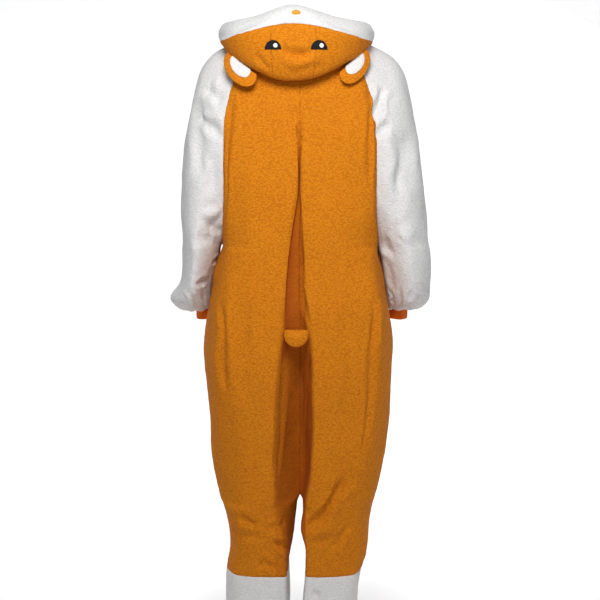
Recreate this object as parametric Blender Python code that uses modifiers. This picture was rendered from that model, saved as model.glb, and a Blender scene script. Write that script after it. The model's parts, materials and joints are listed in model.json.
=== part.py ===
"""Hooded fleece onesie, hollow and in the pose in which it is worn, with its hood folded down.

Metres. +Z is up, +Y is the way the wearer faces and +X is the wearer's right.
The origin is inside the neck opening, level with the tops of the shoulders that carry the garment.

The cloth is one skin: rings of points that run round the garment, one below the other. The rings split
in three at the underarms and in two at the crotch. Seams follow the skin's columns and rows, so each cut
piece is a patch of the skin, given its thickness along the skin's own normals, and neighbours meet edge
to edge.
"""

from collections import namedtuple
from math import atan2, cos, pi, radians, sin

import bmesh
import bpy
from mathutils import Matrix, Vector
from mathutils.bvhtree import BVHTree

# Cloth
FLEECE = 0.0026
SEAM_GAP = 0.0003
LAY_GAP = 0.0004
RIGHT, LEFT = 1, -1
SIDE_NAME = {RIGHT: "right", LEFT: "left"}

# Columns of the skin between two neighbouring stations of a ring
BACK_COUNTS = (2, 2, 2, 2, 2)
ARM_COUNTS = (2, 2, 2, 2, 2, 2)
FLANK_COUNTS = (2, 2)
FRONT_COUNTS = (3, 2, 1)
PLACKET_HALF_WIDTH = 0.019

# Where the stations of a half ring lie, as shares of the ring's own sizes: the wall and the lip of the
# centre back fold, the blade, the turn to the side, the belly seam and the height of the outer arm
FOLD_WALL_X, FOLD_WALL_IN = 0.66, 0.55
FOLD_LIP_IN = 0.06
BLADE_X = 0.5
YOKE_EDGE_X, YOKE_EDGE_IN = 0.93, 0.42
YOKE_SEAM_DROP = 0.4
BELLY_Y, BELLY_DROP = 0.93, 0.25
YOKE_BELLY_X, TRUNK_BELLY_X = 0.62, 0.76
PLACKET_DIP = 0.8
ARM_LEVEL = 0.55
ARM_ANGLES = (0, 50, 90, 130, 180)
REAR_X, REAR_DEEP, FORE_DEEP = 0.72, 0.60, 0.50
TURN_AT_ARM, TURN_FREE = 0.74, 0.90

# The yoke, from the neck to the underarm: one ring round the body and both arms.
# z_*: height of the ring at the centre back, at the outer arm and at the centre front.
# back, front: y of the body. pleat: how far the centre back seam is drawn in.
# lip_*: where that fold's lips lie.
# seam_*: the raglan seam. arm_*: the sleeve's extent.
Yoke = namedtuple(
    "Yoke",
    "z_back z_arm z_front back front pleat lip_left lip_right seam_x seam_back seam_front "
    "arm_mid arm_left arm_right arm_back arm_front",
)
YOKE = (
    Yoke(0.012, 0.004, -0.040, -0.070, 0.080, 0.000, 0.018, 0.018,
         0.056, -0.046, 0.050, 0.066, 0.077, 0.072, -0.022, 0.026),
    Yoke(-0.020, -0.015, -0.062, -0.098, 0.100, 0.000, 0.018, 0.018,
         0.084, -0.072, 0.070, 0.112, 0.138, 0.138, -0.047, 0.045),
    Yoke(-0.060, -0.040, -0.095, -0.120, 0.117, 0.000, 0.018, 0.018,
         0.112, -0.094, 0.088, 0.152, 0.188, 0.192, -0.068, 0.064),
    Yoke(-0.110, -0.076, -0.130, -0.133, 0.126, 0.000, 0.018, 0.018,
         0.137, -0.112, 0.102, 0.178, 0.216, 0.222, -0.088, 0.081),
    Yoke(-0.155, -0.125, -0.165, -0.140, 0.131, 0.002, 0.018, 0.018,
         0.151, -0.120, 0.109, 0.192, 0.229, 0.237, -0.100, 0.091),
    Yoke(-0.205, -0.190, -0.205, -0.145, 0.134, 0.004, 0.017, 0.016,
         0.159, -0.122, 0.111, 0.203, 0.241, 0.249, -0.106, 0.094),
    Yoke(-0.264, -0.264, -0.264, -0.149, 0.137, 0.009, 0.016, 0.014,
         0.161, -0.119, 0.107, 0.209, 0.253, 0.261, -0.108, 0.096),
    Yoke(-0.330, -0.330, -0.330, -0.152, 0.139, 0.013, 0.016, 0.013,
         0.162, -0.108, 0.098, 0.213, 0.258, 0.270, -0.107, 0.097),
    Yoke(-0.390, -0.390, -0.390, -0.154, 0.140, 0.017, 0.019, 0.012,
         0.164, -0.085, 0.082, 0.216, 0.258, 0.276, -0.105, 0.099),
    Yoke(-0.440, -0.440, -0.440, -0.155, 0.141, 0.020, 0.023, 0.012,
         0.168, -0.046, 0.050, 0.218, 0.256, 0.281, -0.101, 0.101),
)
UNDERARM_DROP = 0.010
NECK_ROUND = (1.0, 0.35)

# The body below the underarms. half_*: half width at the side.
# edge: x where the back panel turns to the side.
# dip: how far the centre front is drawn in towards the crotch.
# free: how far the side has come away from the form it has at the underarm.
Trunk = namedtuple(
    "Trunk", "z back front pleat lip_left lip_right half_left half_right edge dip free"
)
TRUNK = (
    Trunk(-0.455, -0.1555, 0.141, 0.021, 0.025, 0.012, 0.164, 0.163, 0.155, 0.000, 0.10),
    Trunk(-0.480, -0.156, 0.141, 0.023, 0.028, 0.012, 0.170, 0.167, 0.157, 0.000, 0.32),
    Trunk(-0.512, -0.157, 0.141, 0.024, 0.032, 0.013, 0.182, 0.175, 0.159, 0.000, 0.62),
    Trunk(-0.545, -0.158, 0.140, 0.025, 0.035, 0.014, 0.191, 0.183, 0.161, 0.000, 0.85),
    Trunk(-0.580, -0.158, 0.139, 0.027, 0.038, 0.016, 0.197, 0.189, 0.163, 0.000, 1.0),
    Trunk(-0.625, -0.157, 0.137, 0.030, 0.041, 0.022, 0.204, 0.197, 0.163, 0.000, 1.0),
    Trunk(-0.665, -0.156, 0.134, 0.043, 0.044, 0.026, 0.208, 0.200, 0.161, 0.000, 1.0),
    Trunk(-0.715, -0.153, 0.131, 0.064, 0.047, 0.027, 0.207, 0.200, 0.157, 0.002, 1.0),
    Trunk(-0.770, -0.148, 0.127, 0.080, 0.050, 0.027, 0.202, 0.198, 0.151, 0.006, 1.0),
    Trunk(-0.830, -0.140, 0.122, 0.089, 0.053, 0.027, 0.196, 0.194, 0.145, 0.014, 1.0),
    Trunk(-0.890, -0.131, 0.116, 0.092, 0.055, 0.026, 0.192, 0.187, 0.139, 0.024, 1.0),
    Trunk(-0.950, -0.121, 0.109, 0.089, 0.055, 0.021, 0.185, 0.178, 0.132, 0.034, 1.0),
    Trunk(-1.000, -0.112, 0.103, 0.084, 0.053, 0.012, 0.177, 0.166, 0.126, 0.044, 1.0),
)
FLANK_Y = -0.030
REAR_Y = -0.048
FORE_Y = 0.051
FORE_NARROWING = 0.027

# The legs. out, lip, inner: x of the outside, of the back fold's lip and of the inside. back, front: y.
Leg = namedtuple("Leg", "z back front out lip inner")
LEG = {
    LEFT: (
        Leg(-1.016, -0.109, 0.101, 0.171, 0.050, 0.007),
        Leg(-1.040, -0.103, 0.099, 0.165, 0.044, 0.010),
        Leg(-1.070, -0.097, 0.096, 0.160, 0.035, 0.0135),
        Leg(-1.105, -0.090, 0.092, 0.157, 0.028, 0.0175),
        Leg(-1.140, -0.084, 0.089, 0.161, 0.0275, 0.022),
        Leg(-1.175, -0.079, 0.086, 0.166, 0.0270, 0.0245),
        Leg(-1.230, -0.075, 0.083, 0.168, 0.0265, 0.0240),
        Leg(-1.290, -0.071, 0.079, 0.164, 0.0290, 0.0260),
        Leg(-1.345, -0.067, 0.075, 0.160, 0.0330, 0.0300),
    ),
    RIGHT: (
        Leg(-1.016, -0.109, 0.101, 0.161, 0.008, 0.007),
        Leg(-1.040, -0.103, 0.099, 0.155, 0.003, 0.009),
        Leg(-1.070, -0.097, 0.096, 0.151, 0.000, 0.009),
        Leg(-1.105, -0.090, 0.092, 0.149, 0.008, 0.013),
        Leg(-1.140, -0.084, 0.089, 0.145, 0.010, 0.015),
        Leg(-1.175, -0.079, 0.086, 0.137, 0.009, 0.014),
        Leg(-1.230, -0.075, 0.083, 0.129, 0.004, 0.010),
        Leg(-1.290, -0.071, 0.079, 0.127, 0.006, 0.011),
        Leg(-1.345, -0.067, 0.075, 0.124, 0.009, 0.013),
    ),
}
# Stations round a leg. run: across from the fold's lip or from the inside to the outside, or across
# the inside itself. along: from the back to the front.
LegStation = namedtuple("LegStation", "run across along")
LEG_STATIONS = (
    LegStation("inside", 1.0, 0.38),
    LegStation("inside", 0.42, 0.19),
    LegStation("lip", 0.03, 0.04),
    LegStation("lip", 0.42, 0.0),
    LegStation("lip", 0.80, 0.085),
    LegStation("lip", 0.955, 0.24),
    LegStation("lip", 1.0, 0.40),
    LegStation("lip", 0.87, 0.74),
    LegStation("inner", 0.60, 0.96),
    LegStation("inner", 0.10, 0.88),
    LegStation("inside", 1.0, 0.78),
    LegStation("inside", 1.0, 0.58),
)
LOWER_LEG_ROW = 5
LEG_SEAM_DROP = 0.010

# The sleeves below the underarm. in_*: x of the side that faces the body, at its back and front.
Sleeve = namedtuple("Sleeve", "z in_back in_front mid out back front")
SLEEVE = {
    LEFT: (
        Sleeve(-0.455, 0.178, 0.176, 0.219, 0.257, -0.100, 0.102),
        Sleeve(-0.480, 0.184, 0.179, 0.221, 0.257, -0.096, 0.104),
        Sleeve(-0.512, 0.194, 0.182, 0.226, 0.258, -0.089, 0.107),
        Sleeve(-0.540, 0.200, 0.183, 0.231, 0.266, -0.079, 0.110),
        Sleeve(-0.562, 0.203, 0.181, 0.235, 0.283, -0.067, 0.110),
        Sleeve(-0.578, 0.204, 0.180, 0.234, 0.280, -0.052, 0.105),
    ),
    RIGHT: (
        Sleeve(-0.455, 0.175, 0.173, 0.226, 0.284, -0.100, 0.102),
        Sleeve(-0.480, 0.180, 0.176, 0.229, 0.287, -0.096, 0.104),
        Sleeve(-0.512, 0.188, 0.180, 0.232, 0.288, -0.089, 0.107),
        Sleeve(-0.540, 0.193, 0.182, 0.236, 0.287, -0.079, 0.110),
        Sleeve(-0.562, 0.196, 0.182, 0.237, 0.286, -0.067, 0.110),
        Sleeve(-0.578, 0.198, 0.183, 0.236, 0.279, -0.052, 0.105),
    ),
}
GATHER_HEIGHT = 0.0030
GATHER_FULL_AT = 0.030
UNDER_SAG = 0.0030
UNDER_SHARE = 0.45

# Rib cuffs
CUFF_CENTRE = {LEFT: (-0.211, 0.048), RIGHT: (0.2195, 0.048)}
CUFF_HALF_X = 0.0200
CUFF_HALF_Y = 0.0310
CUFF_TOP = -0.5895
CUFF_DROP = 0.0013
CUFF_LENGTH = 0.0265
CUFF_WALL = 0.0022
RIB_COUNT = 32
RIB_HEIGHT = 0.0006

# The hood's run from the neck seam, over its roll, down to the fold and up again to the rim:
# steps out from the neck and up, at the back, over the shoulder and at the front.
# reach: how soon the row comes down from its height at the back to its height over the shoulder.
Hood = namedtuple("Hood", "back_out back_up side_out side_up front_out front_up reach")
HOOD = (
    Hood(0.000, 0.013, 0.001, 0.010, 0.001, 0.010, 1.0),
    Hood(0.009, 0.024, 0.010, 0.016, 0.008, 0.018, 1.0),
    Hood(0.022, 0.015, 0.022, 0.010, 0.018, 0.012, 1.0),
    Hood(0.048, -0.046, 0.044, 0.005, 0.027, 0.003, 1.0),
    Hood(0.072, -0.096, 0.058, -0.003, 0.035, -0.009, 1.0),
    Hood(0.092, -0.114, 0.069, -0.012, 0.042, -0.017, 1.0),
    Hood(0.110, -0.093, 0.077, -0.020, 0.048, -0.016, 1.0),
    Hood(0.121, -0.044, 0.082, -0.024, 0.051, -0.012, 1.2),
    Hood(0.118, 0.001, 0.086, -0.023, 0.051, -0.006, 1.9),
    Hood(0.104, 0.026, 0.089, -0.015, 0.048, 0.002, 2.1),
    Hood(0.092, 0.036, 0.093, 0.000, 0.044, 0.012, 2.2),
    Hood(0.072, 0.043, 0.086, 0.016, 0.034, 0.018, 2.3),
)
HOOD_FOLD_ROW = 6
HOOD_BAND_ROW = 9
NECK_CENTRE_Y = 0.005
HOOD_BULGE = 0.20
HOOD_LEAN = -0.014
HOOD_OPENING = 0.006

# Ears, sewn in at the hood's fold
EAR_AT = {LEFT: 0.119, RIGHT: 0.109}
EAR_HALF_ROOT = 0.042
EAR_HALF_WIDTH = 0.045
EAR_HEIGHT = 0.044
EAR_MIDDLE = 0.16
EAR_DROP = 0.014
EAR_FOLLOW = 0.45
EAR_HANG_OUT = 0.36
EAR_HANG_BACK = 0.38
EAR_EDGE = 0.003
EAR_BELLY = 0.005
EAR_INNER_SHARE = 0.62
EAR_INNER_WALL = 0.0012

# Tail, a stuffed half oval in the centre back fold
TAIL_Z = -0.619
TAIL_X = -0.008
TAIL_HALF_WIDTH = 0.026
TAIL_HEIGHT = 0.037
TAIL_BELLY = 0.007
TAIL_EDGE = 0.003
TAIL_TILT = radians(14)

# Felt face on the hood, upside down while the hood is down
FELT = 0.0012
FELT_GAP = 0.0008
FACE_X = -0.008
EYE_X = 0.047
EYE_Z = -0.040
EYE_HALF_WIDTH = 0.017
EYE_HEIGHT = 0.019
GLINT_RADIUS = 0.0045
NOSE_Z = 0.036
NOSE_HALF_WIDTH = 0.009
NOSE_HEIGHT = 0.010

# Front opening
PLACKET_ROWS = (1, 17)
PLACKET_WALL = 0.0022
BUTTON_ROWS = (3, 6, 8, 12, 15)
BUTTON_RADIUS = 0.009
BUTTON_THICKNESS = 0.0036
# Shares of the button's radius and thickness, from the middle of its dish to the middle of its underside
BUTTON_PROFILE = (
    (0.0, 0.55),
    (0.35, 0.55),
    (0.62, 0.55),
    (0.74, 1.0),
    (0.92, 1.0),
    (1.0, 0.7),
    (1.0, 0.2),
    (0.9, 0.0),
    (0.0, 0.0),
)
BUTTON_SIDES = 20

COLOURS = {
    "orange_fleece": ((0.78, 0.31, 0.035), 0.95),
    "white_fleece": ((0.86, 0.85, 0.84), 0.95),
    "orange_rib": ((0.73, 0.22, 0.03), 0.85),
    "black_felt": ((0.02, 0.018, 0.02), 0.9),
    "button_resin": ((0.85, 0.83, 0.80), 0.35),
}


def lerp(a, b, share):
    return a + (b - a) * share


def smooth(share):
    return share * share * (3 - 2 * share)


def spline(points, counts, closed=False):
    """Points along a smooth curve through the stations, counts[i] steps after station i."""
    last = len(points)
    found = []
    for i, count in enumerate(counts):
        p1, p2 = points[i], points[(i + 1) % last]
        p0 = points[i - 1] if closed or i > 0 else p1 * 2 - p2
        p3 = points[(i + 2) % last] if closed or i + 2 < last else p2 * 2 - p1
        reach = (p2 - p1).length
        start = (p2 - p0) * (reach / max((p2 - p1).length + (p1 - p0).length, 1e-9))
        end = (p3 - p1) * (reach / max((p3 - p2).length + (p2 - p1).length, 1e-9))
        for k in range(count):
            t = k / count
            found.append(
                p1 * (2 * t**3 - 3 * t**2 + 1)
                + start * (t**3 - 2 * t**2 + t)
                + p2 * (3 * t**2 - 2 * t**3)
                + end * (t**3 - t**2)
            )
    return found if closed else [*found, points[-1].copy()]


def back_stations(side, row, z, edge_x, edge_y, seam):
    """Centre back, wall and lip of the fold, blade, edge and side seam of a half back."""
    lip = row.lip_right if side == RIGHT else row.lip_left
    return [
        Vector((0, row.back + row.pleat, z)),
        Vector((side * lip * FOLD_WALL_X, row.back + row.pleat * FOLD_WALL_IN, z)),
        Vector((side * lip, row.back + row.pleat * FOLD_LIP_IN, z)),
        Vector((side * lerp(lip, edge_x, BLADE_X), row.back, z)),
        Vector((side * edge_x, edge_y, z)),
        seam,
    ]


def front_stations(side, row, seam, seam_share, z, dip):
    """Side-front seam line, belly seam, placket edge and centre front of a half front."""
    x = abs(seam.x)
    return [
        seam,
        Vector((side * x * seam_share, row.front * BELLY_Y, lerp(z, seam.z, BELLY_DROP))),
        Vector((side * PLACKET_HALF_WIDTH, row.front - dip * PLACKET_DIP, z)),
        Vector((0, row.front - dip, z)),
    ]


def arm_stations(side, row, seam_back, seam_front):
    out = row.arm_right if side == RIGHT else row.arm_left
    middle = (row.arm_back + row.arm_front) / 2
    depth = (row.arm_front - row.arm_back) / 2
    found = [seam_back]
    for angle in ARM_ANGLES:
        turn = radians(angle)
        x = row.arm_mid + (out - row.arm_mid) * sin(turn)
        y = middle - depth * cos(turn)
        edge = seam_back if angle < 90 else seam_front
        level = lerp(ARM_LEVEL, 1, sin(turn))
        found.append(Vector((side * x, y, lerp(edge.z, row.z_arm, level))))
    return [*found, seam_front]


def rounded(point, row, share):
    """The point moved this share of the way to the ellipse of its ring's own width and depth."""
    half_x, half_y = (row.arm_left + row.arm_right) / 2, (row.front - row.back) / 2
    middle = (row.back + row.front) / 2
    way = Vector((point.x / half_x, (point.y - middle) / half_y)).normalized()
    goal = Vector((way.x * half_x, middle + way.y * half_y, point.z))
    return point.lerp(goal, share)


def yoke_ring(row):
    """The spans of one yoke ring on each side: half back, outer arm and half front."""
    spans = {}
    for side in (RIGHT, LEFT):
        z_back = lerp(row.z_back, row.z_arm, YOKE_SEAM_DROP)
        z_front = lerp(row.z_front, row.z_arm, YOKE_SEAM_DROP)
        seam_back = Vector((side * row.seam_x, row.seam_back, z_back))
        seam_front = Vector((side * row.seam_x, row.seam_front, z_front))
        edge_x = row.seam_x * YOKE_EDGE_X
        edge_y = lerp(row.back, row.seam_back, YOKE_EDGE_IN)
        back = back_stations(side, row, row.z_back, edge_x, edge_y, seam_back)
        front = front_stations(side, row, seam_front, YOKE_BELLY_X, row.z_front, 0)
        spans[side, "back"] = spline(back, BACK_COUNTS)
        spans[side, "arm"] = spline(arm_stations(side, row, seam_back, seam_front), ARM_COUNTS)
        spans[side, "front"] = spline(front, FRONT_COUNTS)
    return spans


def trunk_ring(row):
    """The spans of one ring of the body: half back, flank and half front on each side."""
    stations = {}
    for side in (RIGHT, LEFT):
        half = row.half_right if side == RIGHT else row.half_left
        rear_x = lerp(half, lerp(row.edge, half, REAR_X), row.free)
        rear = Vector((side * rear_x, lerp(REAR_Y, row.back * REAR_DEEP, row.free), row.z))
        flank = Vector((side * half, FLANK_Y * row.free, row.z))
        fore_x = half - FORE_NARROWING * row.free
        fore = Vector((side * fore_x, lerp(FORE_Y, row.front * FORE_DEEP, row.free), row.z))
        edge_y = row.back * lerp(TURN_AT_ARM, TURN_FREE, row.free)
        belly_x = lerp(YOKE_BELLY_X, TRUNK_BELLY_X, row.free)
        back = back_stations(side, row, row.z, row.edge, edge_y, rear)
        front = front_stations(side, row, fore, belly_x, row.z, row.dip)
        stations[side] = [*back, flank, *front]
    loop = [*stations[RIGHT], *reversed(stations[LEFT][1:-1])]
    counts = (*BACK_COUNTS, *FLANK_COUNTS, *FRONT_COUNTS)
    points = spline(loop, [*counts, *reversed(counts)], closed=True)
    half_ring = len(points) // 2
    halves = {RIGHT: points[: half_ring + 1], LEFT: [points[0], *reversed(points[half_ring:])]}
    spans = {}
    for side, run in halves.items():
        a, b = sum(BACK_COUNTS), sum(BACK_COUNTS + FLANK_COUNTS)
        spans[side, "back"] = run[: a + 1]
        spans[side, "flank"] = run[a : b + 1]
        spans[side, "front"] = run[b:]
    return spans


def leg_ring(side, row, seam_rise):
    """The spans of one leg ring: half back, flank, half front and the inside leg from front to back."""
    ends = {"lip": (row.lip, row.out), "inner": (row.inner, row.out), "inside": (row.lip, row.inner)}
    loop = []
    for station in LEG_STATIONS:
        x = lerp(*ends[station.run], station.across)
        loop.append(Vector((side * x, lerp(row.back, row.front, station.along), row.z)))
    counts = (*BACK_COUNTS, *FLANK_COUNTS, *FRONT_COUNTS, *FLANK_COUNTS)
    points = spline(loop, counts, closed=True)
    for point in points:
        point.z += seam_rise * smooth(min(max((point.y - row.back) / (row.front - row.back), 0), 1))
    a, b = sum(BACK_COUNTS), sum(BACK_COUNTS + FLANK_COUNTS)
    c = b + sum(FRONT_COUNTS)
    return {
        "back": points[: a + 1],
        "flank": points[a : b + 1],
        "front": points[b : c + 1],
        "inside": [*points[c:], points[0]],
    }


def sleeve_ring(side, row):
    """The spans of one sleeve ring: the outer arm from back to front, and the side that faces the body."""
    middle = (row.back + row.front) / 2
    depth = (row.front - row.back) / 2
    outer = []
    for angle in ARM_ANGLES:
        turn = radians(angle)
        x = row.mid + (row.out - row.mid) * sin(turn)
        outer.append(Vector((side * x, middle - depth * cos(turn), row.z)))
    inner_front = Vector((side * row.in_front, middle + depth * 0.5, row.z))
    inner = Vector((side * lerp(row.in_back, row.in_front, 0.5), middle, row.z))
    inner_back = Vector((side * row.in_back, middle - depth * 0.5, row.z))
    loop = [inner_back, *outer, inner_front, inner]
    points = spline(loop, (*ARM_COUNTS, *FLANK_COUNTS), closed=True)
    arm = sum(ARM_COUNTS)
    return {"arm": points[: arm + 1], "flank": list(reversed([*points[arm:], points[0]]))}


def cuff_point(side, turn, half_x, half_y, z):
    x, y = CUFF_CENTRE[side]
    return Vector((x + side * half_x * sin(turn), y - half_y * cos(turn), z))


def gathered(ring, side):
    """The blouse's underside with its gathers, and its edge over the top of the cuff."""
    centre = Vector(CUFF_CENTRE[side])
    half_x, half_y = CUFF_HALF_X - CUFF_WALL, CUFF_HALF_Y - CUFF_WALL
    under, edge = {}, {}
    for span, points in ring.items():
        under[span], edge[span] = [], []
        for number, point in enumerate(points):
            outward = point.to_2d() - centre
            turn = atan2(side * outward.x / half_x, -outward.y / half_y)
            goal = cuff_point(side, turn, half_x, half_y, CUFF_TOP)
            full = min((point - goal).to_2d().length / GATHER_FULL_AT, 1)
            gather = GATHER_HEIGHT * (1 if number % 2 else -0.5)
            middle = point.lerp(goal, UNDER_SHARE)
            middle.z = CUFF_TOP - full * (UNDER_SAG + gather) + (1 - full) * UNDER_SAG
            under[span].append(middle)
            edge[span].append(goal)
    return under, edge


class Skin:
    """Shared points and the quads between them, each quad belonging to one cut piece."""

    def __init__(self):
        self.points = []
        self.faces = []

    def add(self, points):
        first = len(self.points)
        self.points += [Vector(p) for p in points]
        return list(range(first, len(self.points)))

    def loft(self, upper, lower, piece_at):
        """Quads between two runs of points. The runs go anticlockwise seen from above."""
        for i in range(len(upper) - 1):
            quad = (upper[i], lower[i], lower[i + 1], upper[i + 1])
            self.faces.append((quad, piece_at(i)))

    def finish(self):
        """The normal of each point and how much further it has to be offset where the skin turns."""
        sums = [Vector() for _ in self.points]
        flats = [[] for _ in self.points]
        for quad, _ in self.faces:
            a, b, c, d = (self.points[i] for i in quad)
            flat = (c - a).cross(d - b)
            flat.normalize()
            for k, i in enumerate(quad):
                ahead = self.points[quad[(k + 1) % 4]] - self.points[i]
                behind = self.points[quad[k - 1]] - self.points[i]
                sums[i] += flat * ahead.angle(behind, 0.0)
                flats[i].append(flat)
        self.normals = [s.normalized() for s in sums]
        self.stretch = []
        for normal, around in zip(self.normals, flats):
            facing = sum(normal.dot(flat) for flat in around) / len(around)
            self.stretch.append(min(1 / max(facing, 0.1), 1.35))


class Onesie(Skin):
    """The garment's skin, ring by ring."""

    def __init__(self):
        super().__init__()
        self.centre_front = []
        self.placket_edge = {RIGHT: [], LEFT: []}
        self.level_set = set()
        self.build_yoke()
        self.build_sleeves()
        self.build_trunk()
        self.build_legs()
        self.build_hood()
        self.finish()

    def quads(self, side, upper, lower, piece_at):
        if side == RIGHT:
            self.loft(upper, lower, piece_at)
        else:
            count = len(upper) - 1
            self.loft(upper[::-1], lower[::-1], lambda i: piece_at(count - 1 - i))

    def add_spans(self, spans):
        """Indices of a ring's spans, with the points that two spans share added once."""
        placed, found = {}, {}
        for key, run in spans.items():
            indices = []
            for point in run:
                tag = tuple(round(v, 7) for v in point)
                if tag not in placed:
                    placed[tag] = self.add([point])[0]
                indices.append(placed[tag])
            found[key] = indices
        return found

    def note_front(self, ring):
        self.centre_front.append(ring[RIGHT, "front"][-1])
        for side in (RIGHT, LEFT):
            self.placket_edge[side].append(ring[side, "front"][-2])

    def front_piece(self, side):
        name = SIDE_NAME[side]
        belly = FRONT_COUNTS[0]
        return lambda i: f"side_front_{name}" if i < belly else f"front_{name}"

    def join(self, upper, lower, side):
        name = SIDE_NAME[side]
        self.quads(side, upper[side, "back"], lower[side, "back"], lambda i: f"back_{name}")
        self.quads(side, upper[side, "front"], lower[side, "front"], self.front_piece(side))

    def build_yoke(self):
        rings = [yoke_ring(row) for row in YOKE]
        for row, ring, share in zip(YOKE, rings, NECK_ROUND):
            for span, run in ring.items():
                ring[span] = [rounded(point, row, share) for point in run]
        self.yoke = [self.add_spans(ring) for ring in rings]
        for ring in self.yoke:
            self.note_front(ring)
        for upper, lower in zip(self.yoke, self.yoke[1:]):
            for side in (RIGHT, LEFT):
                self.join(upper, lower, side)
                sleeve = f"sleeve_{SIDE_NAME[side]}"
                self.quads(side, upper[side, "arm"], lower[side, "arm"], lambda i, s=sleeve: s)
        self.bridge = {}
        for side in (RIGHT, LEFT):
            ends = self.yoke[-1][side, "back"][-1], self.yoke[-1][side, "front"][0]
            a, b = (self.points[i] for i in ends)
            count = sum(FLANK_COUNTS)
            inner = []
            for k in range(1, count):
                point = a.lerp(b, k / count)
                point.z -= UNDERARM_DROP * sin(pi * k / count)
                inner.append(point)
            self.bridge[side] = [ends[0], *self.add(inner), ends[1]]

    def build_sleeves(self):
        for side in (RIGHT, LEFT):
            sleeve = f"sleeve_{SIDE_NAME[side]}"
            rows = [sleeve_ring(side, row) for row in SLEEVE[side]]
            rows += gathered(rows[-1], side)
            rings = [{"arm": self.yoke[-1][side, "arm"], "flank": self.bridge[side]}]
            rings += [self.add_spans(row) for row in rows]
            for upper, lower in zip(rings, rings[1:]):
                self.quads(side, upper["arm"], lower["arm"], lambda i, s=sleeve: s)
                self.quads(side, upper["flank"][::-1], lower["flank"][::-1], lambda i, s=sleeve: s)
            self.level_set.update(rings[-1]["arm"], rings[-1]["flank"])

    def flank_piece(self, side):
        name = SIDE_NAME[side]
        return lambda i: f"back_{name}" if i < FLANK_COUNTS[0] else f"side_front_{name}"

    def build_trunk(self):
        upper = dict(self.yoke[-1])
        for side in (RIGHT, LEFT):
            upper[side, "flank"] = self.bridge[side]
        for row in TRUNK:
            lower = self.add_spans(trunk_ring(row))
            self.note_front(lower)
            for side in (RIGHT, LEFT):
                self.join(upper, lower, side)
                self.quads(side, upper[side, "flank"], lower[side, "flank"], self.flank_piece(side))
            upper = lower
        self.hips = upper
        back, front = self.hips[RIGHT, "back"][0], self.hips[RIGHT, "front"][-1]
        count = sum(FLANK_COUNTS)
        a, b = self.points[back], self.points[front]
        inner = self.add([b.lerp(a, k / count) for k in range(1, count)])
        self.crotch = [front, *inner, back]

    def build_legs(self):
        for side in (RIGHT, LEFT):
            name = SIDE_NAME[side]
            upper = {span: self.hips[side, span] for span in ("back", "flank", "front")}
            upper["inside"] = self.crotch
            for number, row in enumerate(LEG[side]):
                rise = LEG_SEAM_DROP * 2 if number == LOWER_LEG_ROW else 0
                lower = self.add_spans(leg_ring(side, row, rise))
                low = number > LOWER_LEG_ROW

                def piece(span, i, low=low, name=name):
                    if low:
                        return f"lower_leg_{name}"
                    if span == "back":
                        return f"back_{name}"
                    if span == "flank":
                        return self.flank_piece(RIGHT if name == "right" else LEFT)(i)
                    if span == "front":
                        return f"side_front_{name}" if i < FRONT_COUNTS[0] else f"front_{name}"
                    return f"front_{name}" if i < FLANK_COUNTS[0] else f"back_{name}"

                for span in ("back", "flank", "front", "inside"):
                    self.quads(side, upper[span], lower[span], lambda i, s=span, p=piece: p(s, i))
                upper = lower

    def build_hood(self):
        """The hood goes on from the neck ring's own columns, and its last row is the rim."""
        neck = self.yoke[0]
        columns = neck[LEFT, "front"][::-1] + neck[LEFT, "arm"][-2::-1] + neck[LEFT, "back"][-2::-1]
        columns += neck[RIGHT, "back"][1:] + neck[RIGHT, "arm"][1:] + neck[RIGHT, "front"][1:]
        self.hood = [columns]
        base = [self.points[i] for i in columns]
        for number, row in enumerate(HOOD, 1):
            lean = HOOD_LEAN * min(number / HOOD_FOLD_ROW, 1) ** 2
            ring = [hood_point(point, row, lean) for point in base]
            ring[0].x -= HOOD_OPENING / 2
            ring[-1].x += HOOD_OPENING / 2
            self.hood.append(self.add(ring))
        back = sum(BACK_COUNTS) + sum(ARM_COUNTS) + sum(FRONT_COUNTS)
        strip = BACK_COUNTS[0] + BACK_COUNTS[1]

        def crown(i):
            if back - strip <= i < back + strip:
                return "hood_centre"
            return "hood_side_left" if i < back else "hood_side_right"

        for number, (lower, upper) in enumerate(zip(self.hood, self.hood[1:])):
            self.loft(upper, lower, crown if number < HOOD_BAND_ROW else lambda i: "hood_band")


def hood_point(base, row, lean):
    """A point of the hood over one point of the neck ring. Lean is how far its back falls to the left."""
    outward = Vector((base.x, base.y - NECK_CENTRE_Y, 0))
    turn = abs(Vector((0, -1, 0)).angle(outward)) / (pi / 2)
    outward.normalize()
    share = smooth(min(turn, 1))
    rise = smooth(min(turn * row.reach, 1))
    lean *= 1 - share / 2
    out, up = lerp(row.back_out, row.side_out, share), lerp(row.back_up, row.side_up, rise)
    out *= 1 + HOOD_BULGE * sin(pi * min(turn, 1)) ** 2
    if turn > 1:
        share = smooth(turn - 1)
        out, up = lerp(row.side_out, row.front_out, share), lerp(row.side_up, row.front_up, share)
    return base + outward * out + Vector((lean, 0, up))


def new_object(name, bm, material):
    mesh = bpy.data.meshes.new(name)
    bm.normal_update()
    bm.to_mesh(mesh)
    bm.free()
    obj = bpy.data.objects.new(name, mesh)
    GARMENT.objects.link(obj)
    mesh.materials.append(MATERIALS[material])
    mesh.shade_smooth()
    mesh.set_sharp_from_angle(angle=radians(50))
    return obj


def make_material(name):
    colour, roughness = COLOURS[name]
    material = bpy.data.materials.new(name)
    material.use_nodes = True
    shader = material.node_tree.nodes["Principled BSDF"]
    shader.inputs["Base Color"].default_value = (*colour, 1)
    shader.inputs["Roughness"].default_value = roughness
    shader.inputs["Metallic"].default_value = 0
    return material


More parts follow.
